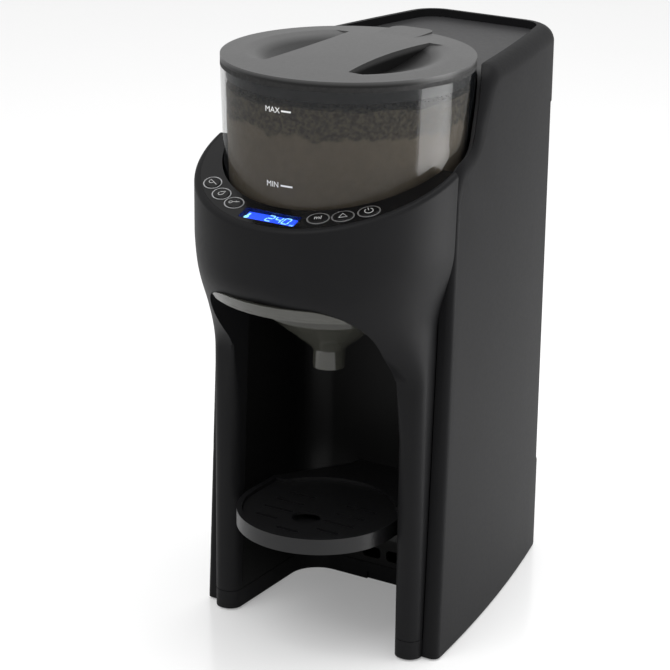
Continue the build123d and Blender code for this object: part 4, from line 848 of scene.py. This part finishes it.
@dataclass
class PowderFill:
    """The milk powder: a sleeve round the wheels, a full bed above them and loose clumps on top."""

    shelf: FinishShelf
    gap: float = 0.3
    floor_z: float = 262.0
    cavity_radius: float = 68.6
    cavity_top_z: float = 298.0
    top_z: float = 346.0
    heave: float = 2.2
    heave_size: float = 14.0
    grit: float = 0.5
    grit_size: float = 2.5
    crumb_from_z: float = 328.0
    crumb_wander: float = 4.0
    crumb_wander_size: float = 9.0
    crumb_fade: float = 3.0
    crumb_depth: float = 1.3
    crumb_size: float = 1.7
    fine_size: float = 0.8
    fine_share: float = 0.6
    segments: int = 220
    levels: int = 60
    rings: int = 30
    crease: float = 70.0
    clump_field_radius: float = 69.0
    clump_field_sides: int = 96
    clump_detail: int = 2
    clump_lift: float = 0.2
    clump_density: float = 90000.0
    clump_seed: int = 7
    clump_sizes: Pair = (0.5, 1.5)
    clump_rough_m: float = 0.0012
    clump_noise_scale: float = 900.0

    def ripple(self, point: Vector, size: float) -> float:
        """Noise between -1 and 1 with features of a size in millimetres."""
        return noise.noise(point / (size * MM))

    def wall_point(self, angle: float, z: float) -> Vector:
        """A point of the powder against the wall, dented where the powder is loose.

        Args:
            angle: Radians from the front towards the right.
            z: Height over the table.

        Returns:
            The point in the frame.
        """
        flat = CONTAINER.on_wall(angle, z, 0.0)
        start = self.crumb_wander * self.ripple(flat, self.crumb_wander_size)
        loose = min(1.0, max(0.0, (z - self.crumb_from_z - start) / self.crumb_fade))
        coarse, fine = (abs(self.ripple(flat, size)) for size in (self.crumb_size, self.fine_size))
        dent = loose * self.crumb_depth * min(1.0, coarse + self.fine_share * fine)
        return CONTAINER.on_wall(angle, z, -CONTAINER.wall - self.gap - dent)

    def top_point(self, edge: Vector, share: float) -> Vector:
        """A point of the heaving top.

        Args:
            edge: Where the top meets the wall.
            share: How far it is towards the middle, from 0 to 1.

        Returns:
            The point in the frame.
        """
        point = edge.lerp(place(0.0, 0.0, self.top_z), share)
        coarse, fine = (self.ripple(point, size) for size in (self.heave_size, self.grit_size))
        point.z = self.top_z * MM + (self.heave * coarse + self.grit * fine) * MM
        return point

    def bed(self) -> bpy.types.Mesh:
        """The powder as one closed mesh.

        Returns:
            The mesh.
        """
        sketch = bmesh.new()
        columns = []
        for step in range(self.segments):
            angle = math.tau * step / self.segments
            wall_top = CONTAINER.on_wall(angle, self.top_z, 0.0)
            rim_z = self.top_z + self.heave * self.ripple(wall_top, self.heave_size)
            column = [place(self.cavity_radius * math.sin(angle), -self.cavity_radius * math.cos(angle), z)
                      for z in (self.cavity_top_z, self.floor_z)]
            column += [self.wall_point(angle, self.floor_z + (rim_z - self.floor_z) * level / self.levels)
                       for level in range(self.levels + 1)]
            edge = column[-1].copy()
            column += [self.top_point(edge, ring / self.rings) for ring in range(1, self.rings)]
            columns.append([sketch.verts.new(point) for point in column])
        top = sketch.verts.new(place(0.0, 0.0, self.top_z))
        ceiling = sketch.verts.new(place(0.0, 0.0, self.cavity_top_z))
        for left, right in zip(columns, columns[1:] + columns[:1]):
            for low in range(len(left) - 1):
                sketch.faces.new((left[low], right[low], right[low + 1], left[low + 1]))
            sketch.faces.new((left[-1], right[-1], top))
            sketch.faces.new((right[0], left[0], ceiling))
        return finish_mesh(sketch, "powder_bed", self.crease)

    def clumps(self) -> bpy.types.Mesh:
        """Loose clumps over the bed, scattered by geometry nodes.

        Returns:
            The mesh.
        """
        disc = bmesh.new()
        bmesh.ops.create_circle(disc, cap_ends=True, segments=self.clump_field_sides,
                                radius=self.clump_field_radius * MM,
                                matrix=Matrix.Translation(place(0.0, 0.0, self.top_z + self.clump_lift)))
        base = finish_mesh(disc, "clump_field")
        small, large = self.clump_sizes
        nodes = NodeMesh("powder_clumps", {
            "Density": ("NodeSocketFloat", self.clump_density), "Seed": ("NodeSocketInt", self.clump_seed),
            "Small": ("NodeSocketFloat", small), "Large": ("NodeSocketFloat", large),
            "Rough": ("NodeSocketFloat", self.clump_rough_m),
        })
        entry = nodes.entry
        scatter = nodes.node("GeometryNodeDistributePointsOnFaces",
                             {"Mesh": entry[0], "Density": entry["Density"], "Seed": entry["Seed"]})
        grain = nodes.node("GeometryNodeMeshIcoSphere", {"Radius": MM, "Subdivisions": self.clump_detail})
        size = nodes.node("FunctionNodeRandomValue",
                          {"Min": entry["Small"], "Max": entry["Large"], "Seed": entry["Seed"]},
                          data_type="FLOAT")
        copies = nodes.node("GeometryNodeInstanceOnPoints",
                            {"Points": scatter.outputs["Points"], "Instance": grain.outputs["Mesh"],
                             "Scale": size.outputs["Value"]})
        solid = nodes.node("GeometryNodeRealizeInstances", {"Geometry": copies.outputs["Instances"]})
        texture = nodes.node("ShaderNodeTexNoise", {"Scale": self.clump_noise_scale})
        centred = nodes.node("ShaderNodeVectorMath", {0: texture.outputs["Color"], 1: (0.5, 0.5, 0.5)},
                             operation="SUBTRACT")
        shift = nodes.node("ShaderNodeVectorMath", {0: centred.outputs["Vector"], "Scale": entry["Rough"]},
                           operation="SCALE")
        moved = nodes.node("GeometryNodeSetPosition",
                           {"Geometry": solid.outputs["Geometry"], "Offset": shift.outputs["Vector"]})
        nodes.close(moved.outputs["Geometry"], self.shelf.get("milk_powder"))
        return nodes.run(base)

    def build(self) -> None:
        """Fills the container."""
        finish = self.shelf.get("milk_powder")
        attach(mesh_object("powder_bed", self.bed(), finish), "container")
        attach(mesh_object("powder_clumps", self.clumps(), finish), "container")
        LOG.info("powder")


def text_mesh(words: str, height: float, depth: float) -> bpy.types.Mesh:
    """Raised letters about their own middle, in millimetres.

    Args:
        words: What they say.
        height: The letters' height.
        depth: How far they stand out.

    Returns:
        The mesh.
    """
    curve = bpy.data.curves.new(words, "FONT")
    curve.body = words
    curve.align_x = "CENTER"
    curve.align_y = "CENTER"
    curve.extrude = 0.5  # to each side, so the letters are one unit deep before they are scaled
    mesh = curve_mesh(curve)
    rows = [vertex.co.y for vertex in mesh.vertices]
    scale = height / (max(rows) - min(rows))
    mesh.transform(Matrix.Diagonal((scale, scale, depth, 1.0)))
    return mesh


@dataclass(frozen=True)
class Mark:
    """A level mark: its word at an angle and height, and its dash from one angle to another, in degrees."""

    word: str
    angle: float
    z: float
    dash: Pair


@dataclass
class WallMarks:
    """The level marks printed on the container's wall."""

    shelf: FinishShelf
    letter_height: float = 3.3
    depth: float = 0.08
    dash_height: float = 1.0
    dash_steps: int = 10
    marks: tuple[Mark, ...] = (Mark("MAX", -3.4, 345.0, (1.2, 6.0)), Mark("MIN", -4.0, 300.6, (0.4, 6.4)))

    def word(self, sketch: bmesh.types.BMesh, mark: Mark) -> None:
        """Wraps a mark's raised letters on the wall.

        Args:
            sketch: The mesh being built.
            mark: The mark.
        """
        mesh = text_mesh(mark.word, self.letter_height, self.depth)
        for vertex in mesh.vertices:
            turn = math.radians(mark.angle) + vertex.co.x / CONTAINER.outer(mark.z)
            vertex.co = CONTAINER.on_wall(turn, mark.z + vertex.co.y, PRINT_LIFT + self.depth + vertex.co.z)
        sketch.from_mesh(mesh)

    def dash(self, sketch: bmesh.types.BMesh, mark: Mark) -> None:
        """Adds a mark's short line beside the letters.

        Args:
            sketch: The mesh being built.
            mark: The mark.
        """
        low, high = PRINT_LIFT, PRINT_LIFT + self.depth
        corners = ((-0.5, low), (0.5, low), (0.5, high), (-0.5, high))
        start, end = mark.dash
        sections = []
        for step in range(self.dash_steps + 1):
            turn = math.radians(start + (end - start) * step / self.dash_steps)
            sections.append([sketch.verts.new(CONTAINER.on_wall(turn, mark.z + up * self.dash_height, lift))
                             for up, lift in corners])
        for left, right in zip(sections, sections[1:]):
            for one in range(len(corners)):
                two = (one + 1) % len(corners)
                sketch.faces.new((left[one], right[one], right[two], left[two]))
        sketch.faces.new(sections[0])
        sketch.faces.new(sections[-1][::-1])

    def build(self) -> None:
        """Prints the marks."""
        sketch = bmesh.new()
        for mark in self.marks:
            self.word(sketch, mark)
            self.dash(sketch, mark)
        mesh = finish_mesh(sketch, "wall_marks")
        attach(mesh_object("wall_marks", mesh, self.shelf.get("print_white")), "container")
        LOG.info("wall marks")


@dataclass(frozen=True)
class Icon:
    """A button's icon: lines as lists of steps to the right and to the rear, and letters."""

    button: str
    angle: float
    lines: tuple[tuple[Pair, ...], ...] = ()
    letters: str = ""


def arc_points(radius: float, start: float, end: float, middle: Pair = (0.0, 0.0),
               steps: int = 14) -> tuple[Pair, ...]:
    """Points along an arc.

    Args:
        radius: The arc's radius.
        start: Its first angle in degrees, anticlockwise from the right.
        end: Its last angle.
        middle: Its centre.
        steps: How many pieces it has.

    Returns:
        The points.
    """
    angles = [math.radians(start + (end - start) * step / steps) for step in range(steps + 1)]
    return tuple((middle[0] + radius * math.cos(a), middle[1] + radius * math.sin(a)) for a in angles)


@dataclass
class ButtonIcons:
    """The light grey icons on the six buttons."""

    shelf: FinishShelf
    cap_height: float = 0.8
    line_radius: float = 0.26
    line_facets: int = 2
    icon_scale: float = 1.3
    letter_height: float = 3.2
    letter_depth: float = 0.1
    line_sink: float = 0.1
    letter_lift: float = 0.06
    crease: float = 60.0
    icons: tuple[Icon, ...] = (
        Icon("scoop", -40.2, (arc_points(1.5, 180.0, 360.0, (-0.8, 0.2)), ((-2.3, 0.2), (3.1, 0.9)))),
        Icon("water", -30.0, (((-1.2, 0.1), (0.2, 2.1), (1.3, 0.2))
                              + arc_points(1.25, 0.0, -180.0, (0.05, -0.3)),)),
        Icon("temperature", -20.2, (arc_points(0.8, 60.0, 390.0, (-1.3, -0.9)), ((-0.7, -0.3), (1.9, 1.7)),
                                    ((0.2, 1.2), (0.9, 0.4)))),
        Icon("volume", 20.2, (), "ml"),
        Icon("start", 30.0, (((-1.9, -1.3), (0.0, 1.8), (1.9, -1.3), (-1.9, -1.3)),)),
        Icon("power", 40.2, (arc_points(1.9, 125.0, 415.0), ((0.0, 0.4), (0.0, 2.5)))),
    )

    def stroke(self, icon: Icon, points: tuple[Pair, ...]) -> bpy.types.Mesh:
        """A round line on the cap.

        Args:
            icon: The icon that the line is part of.
            points: The line's points, as steps to the right and to the rear.

        Returns:
            The mesh.
        """
        curve = bpy.data.curves.new("icon_line", "CURVE")
        curve.dimensions = "3D"
        curve.bevel_depth = self.line_radius * MM
        curve.bevel_resolution = self.line_facets
        curve.use_fill_caps = True
        spline = curve.splines.new("POLY")
        spline.points.add(len(points) - 1)
        for target, (x, y) in zip(spline.points, points):
            step = (self.icon_scale * x, self.icon_scale * y, self.cap_height - self.line_sink)
            target.co = (*PANEL.spot(PANEL.button_circle, icon.angle, step), 1.0)
        return curve_mesh(curve)

    def build(self) -> None:
        """Puts each icon on its button."""
        for icon in self.icons:
            sketch = bmesh.new()
            for line in icon.lines:
                sketch.from_mesh(self.stroke(icon, line))
            if icon.letters:
                mesh = text_mesh(icon.letters, self.letter_height, self.letter_depth)
                for vertex in mesh.vertices:
                    step = (vertex.co.x, vertex.co.y, self.cap_height + self.letter_lift + vertex.co.z)
                    vertex.co = PANEL.spot(PANEL.button_circle, icon.angle, step)
                sketch.from_mesh(mesh)
            mesh = finish_mesh(sketch, "icon_" + icon.button, self.crease)
            piece = mesh_object("icon_" + icon.button, mesh, self.shelf.get("print_grey"))
            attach(piece, "button_" + icon.button)
        LOG.info("icons")


@dataclass
class DisplayFace:
    """What the display shows: an amount in seven-part figures, its unit and a thermometer."""

    shelf: FinishShelf
    amount: str = "240"
    figure_width: float = 3.9
    figure_height: float = 5.5
    rise: float = 0.9
    pitch: float = 5.6
    first_x: float = -0.6
    bar: float = 0.75
    bar_gap: float = 0.12
    slant: float = 0.16
    face_depth: float = -1.69
    glow_height: float = 0.05
    stem: tuple[Pair, Pair] = ((-15.9, -2.0), (-14.4, 1.4))
    bulb: Pair = (-15.2, -2.4)
    bulb_radius: float = 1.5
    bulb_turn: float = 340.0
    unit: str = "ml"
    unit_height: float = 1.8
    unit_spot: Pair = (15.4, -2.0)
    segments: dict[str, str] = field(default_factory=lambda: {"2": "abged", "4": "fgbc", "0": "abcdef"})

    def bar_places(self) -> dict[str, tuple[float, float, bool]]:
        """Where the seven parts of a figure lie.

        Returns:
            Each part's middle about the figure's own, and whether the part lies across.
        """
        side, half = self.figure_width / 2, self.figure_height / 2
        return {
            "a": (0.0, half, True), "g": (0.0, 0.0, True), "d": (0.0, -half, True),
            "f": (-side, half / 2, False), "b": (side, half / 2, False),
            "e": (-side, -half / 2, False), "c": (side, -half / 2, False),
        }

    def corner(self, x: float, y: float, level: float) -> Vector:
        """A slanted figure's corner over the display, in the frame."""
        return PANEL.spot(PANEL.display_circle, 0.0, (x + self.slant * y, y + self.rise, level))

    def plate(self, sketch: bmesh.types.BMesh, outline: Sequence[Pair]) -> None:
        """Adds a thin lit plate over the display's face.

        Args:
            sketch: The mesh being built.
            outline: The plate's corners, to the right and up the display.
        """
        levels = (self.face_depth, self.face_depth + self.glow_height)
        low, high = ([sketch.verts.new(self.corner(x, y, level)) for x, y in outline] for level in levels)
        sketch.faces.new(high)
        sketch.faces.new(low[::-1])
        for one in range(len(outline)):
            two = (one + 1) % len(outline)
            sketch.faces.new((low[one], low[two], high[two], high[one]))

    def figure(self, sketch: bmesh.types.BMesh, digit: str, x: float) -> None:
        """Adds one figure.

        Args:
            sketch: The mesh being built.
            digit: What it shows.
            x: Its middle, to the right along the display.
        """
        tip = self.bar / 2
        for part, (dx, dy, across) in self.bar_places().items():
            if part not in self.segments[digit]:
                continue
            reach = (self.figure_width / 2 if across else self.figure_height / 4) - self.bar_gap
            outline = [(-reach, 0.0), (tip - reach, -tip), (reach - tip, -tip), (reach, 0.0),
                       (reach - tip, tip), (tip - reach, tip)]
            if not across:
                outline = [(-b, a) for a, b in outline]
            self.plate(sketch, [(x + dx + a, dy + b) for a, b in outline])

    def build(self) -> None:
        """Lights the display."""
        sketch = bmesh.new()
        for index, digit in enumerate(self.amount):
            self.figure(sketch, digit, self.first_x + self.pitch * index)
        (left, low), (right, high) = self.stem
        self.plate(sketch, [(left, low), (right, low), (right, high), (left, high)])
        self.plate(sketch, arc_points(self.bulb_radius, 0.0, self.bulb_turn, self.bulb))
        letters = text_mesh(self.unit, self.unit_height, self.glow_height)
        middle = self.face_depth + self.glow_height / 2
        for vertex in letters.vertices:
            step = (vertex.co.x + self.unit_spot[0], vertex.co.y + self.unit_spot[1], middle + vertex.co.z)
            vertex.co = PANEL.spot(PANEL.display_circle, 0.0, step)
        sketch.from_mesh(letters)
        mesh = finish_mesh(sketch, "display_figures")
        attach(mesh_object("display_figures", mesh, self.shelf.get("display_ink")), "machine")
        LOG.info("display")


@dataclass
class TankScale:
    """The level lines on the tank's rear wall."""

    shelf: FinishShelf
    rear_y: float = 179.0
    left_x: float = -22.0
    first_z: float = 90.0
    step: float = 18.0
    count: int = 8
    length: float = 9.0
    thickness: float = 0.8
    depth: float = 0.12

    def build(self) -> None:
        """Prints the lines by geometry nodes, one copy of a line for each level."""
        sketch = bmesh.new()
        sketch.verts.new(place(self.left_x, self.rear_y + self.depth / 2 + PRINT_LIFT, self.first_z))
        base = bpy.data.meshes.new("scale_start")
        sketch.to_mesh(base)
        sketch.free()
        nodes = NodeMesh("tank_scale", {"Count": ("NodeSocketInt", self.count),
                                        "Step": ("NodeSocketFloat", self.step * MM)})
        entry = nodes.entry
        offset = nodes.node("ShaderNodeCombineXYZ", {"Z": entry["Step"]})
        ladder = nodes.node("GeometryNodeMeshLine",
                            {"Count": entry["Count"], "Offset": offset.outputs["Vector"]})
        line = nodes.node("GeometryNodeMeshCube",
                          {"Size": (self.length * MM, self.depth * MM, self.thickness * MM)})
        rungs = nodes.node("GeometryNodeInstanceOnPoints",
                           {"Points": ladder.outputs["Mesh"], "Instance": line.outputs["Mesh"]})
        start = nodes.node("GeometryNodeInstanceOnPoints",
                           {"Points": entry[0], "Instance": rungs.outputs["Instances"]})
        nodes.close(start.outputs["Instances"], self.shelf.get("print_white"))
        mesh = nodes.run(base)
        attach(mesh_object("tank_scale", mesh, self.shelf.get("print_white")), "tank")
        LOG.info("tank scale")


@dataclass(frozen=True)
class Softbox:
    """A soft rectangular lamp: its place, what it points at and its size in metres, its power in watts."""

    name: str
    at: Point
    aim: Point
    size: Pair
    power: float

    def hang(self) -> None:
        """Adds the lamp, unseen by the camera itself."""
        data = bpy.data.lights.new(self.name, "AREA")
        data.shape = "RECTANGLE"
        data.size, data.size_y = self.size
        data.energy = self.power
        made = bpy.data.objects.new(self.name, data)
        made.location = self.at
        made.visible_camera = False
        made.rotation_euler = (Vector(self.aim) - Vector(self.at)).to_track_quat("-Z", "Y").to_euler()
        bpy.context.scene.collection.objects.link(made)


@dataclass
class StudioView:
    """The floor, the light and the camera."""

    azimuth: float = 31.5471252
    pitch: float = 19.1809276
    roll: float = 0.69765137
    eye: Point = (742.150953, -1220.311701, 684.929925)
    focal_px: float = 2463.21164
    frame_px: float = 670.0
    sensor_mm: float = 36.0
    view_reach_m: float = 20.0
    lamps: tuple[Softbox, ...] = (
        Softbox("key_softbox", (-0.2, -1.1, 1.9), (0.0, 0.0, 0.2), (1.2, 1.2), 13.0),
        Softbox("fill_softbox", (1.5, -0.7, 0.9), (0.0, 0.0, 0.2), (0.9, 1.4), 1.6),
        Softbox("rim_softbox", (1.7, 1.0, 0.7), (0.0, -0.04, 0.32), (0.7, 1.1), 0.6),
        Softbox("band_softbox", (0.54, 0.21, 0.17), (0.0, -0.04, 0.30), (0.4, 0.3), 2.3),
        Softbox("top_softbox", (0.1, 0.5, 1.9), (0.0, 0.0, 0.2), (1.4, 1.2), 14.0),
    )
    room_strength: float = 0.64
    backdrop_strength: float = 1.0
    floor_size_m: float = 6.0
    floor_cells: int = 4

    def camera(self) -> None:
        """Places the camera."""
        turn, tip, lean = (math.radians(a) for a in (self.azimuth, self.pitch, self.roll))
        back = Vector((math.sin(turn) * math.cos(tip), -math.cos(turn) * math.cos(tip), math.sin(tip)))
        right = Vector((math.cos(turn), math.sin(turn), 0.0))
        up = back.cross(right)
        side = math.cos(lean) * right + math.sin(lean) * up
        top = -math.sin(lean) * right + math.cos(lean) * up
        lens = bpy.data.cameras.new("studio_camera")
        lens.sensor_width = self.sensor_mm
        lens.lens = self.focal_px * self.sensor_mm / self.frame_px
        lens.clip_end = self.view_reach_m
        made = bpy.data.objects.new("studio_camera", lens)
        matrix = Matrix((side, top, back)).transposed().to_4x4()
        matrix.translation = place(*self.eye)
        made.matrix_world = matrix
        bpy.context.scene.collection.objects.link(made)
        bpy.context.scene.camera = made

    def room(self) -> None:
        """Sets the room's even light, and the white that the camera sees behind the floor."""
        world = bpy.data.worlds.new("studio_room")
        bpy.context.scene.world = world
        world.use_nodes = True
        sketch = TreeSketch(world.node_tree)
        room, backdrop = (sketch.node("ShaderNodeBackground", {"Color": WHITE, "Strength": strength})
                          for strength in (self.room_strength, self.backdrop_strength))
        seen = sketch.node("ShaderNodeLightPath").outputs["Is Camera Ray"]
        mix = sketch.node("ShaderNodeMixShader", {0: seen, 1: room.outputs[0], 2: backdrop.outputs[0]})
        sketch.node("ShaderNodeOutputWorld", {"Surface": mix.outputs["Shader"]})

    def floor(self) -> None:
        """Lays the pale floor."""
        sketch = bmesh.new()
        bmesh.ops.create_grid(sketch, x_segments=self.floor_cells, y_segments=self.floor_cells,
                              size=self.floor_size_m)
        mesh = finish_mesh(sketch, "pale_floor")
        if mesh.polygons[0].normal.z < 0:
            mesh.flip_normals()
        mesh_object("pale_floor", mesh, Floor().build())

    def build(self) -> None:
        """Sets the stage up."""
        self.camera()
        for lamp in self.lamps:
            lamp.hang()
        self.room()
        self.floor()
        bpy.context.scene.view_settings.view_transform = "Standard"
        LOG.info("studio")


def main() -> None:
    """Builds the dressed machine and the studio."""
    logging.basicConfig(level=logging.INFO, format="%(message)s")
    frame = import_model()
    slots = {s["node"]: s["material_slot"] for s in frame["record"]["subparts"]}
    shelf = FinishShelf()
    StudioView().build()
    dress = FrameDress(frame["nodes"], frame["record"]["behaviour"]["bodies"], slots, shelf)
    dress.build()
    PowderFill(shelf).build()
    WallMarks(shelf).build()
    ButtonIcons(shelf).build()
    DisplayFace(shelf).build()
    TankScale(shelf).build()


if __name__ == "__main__":
    main()
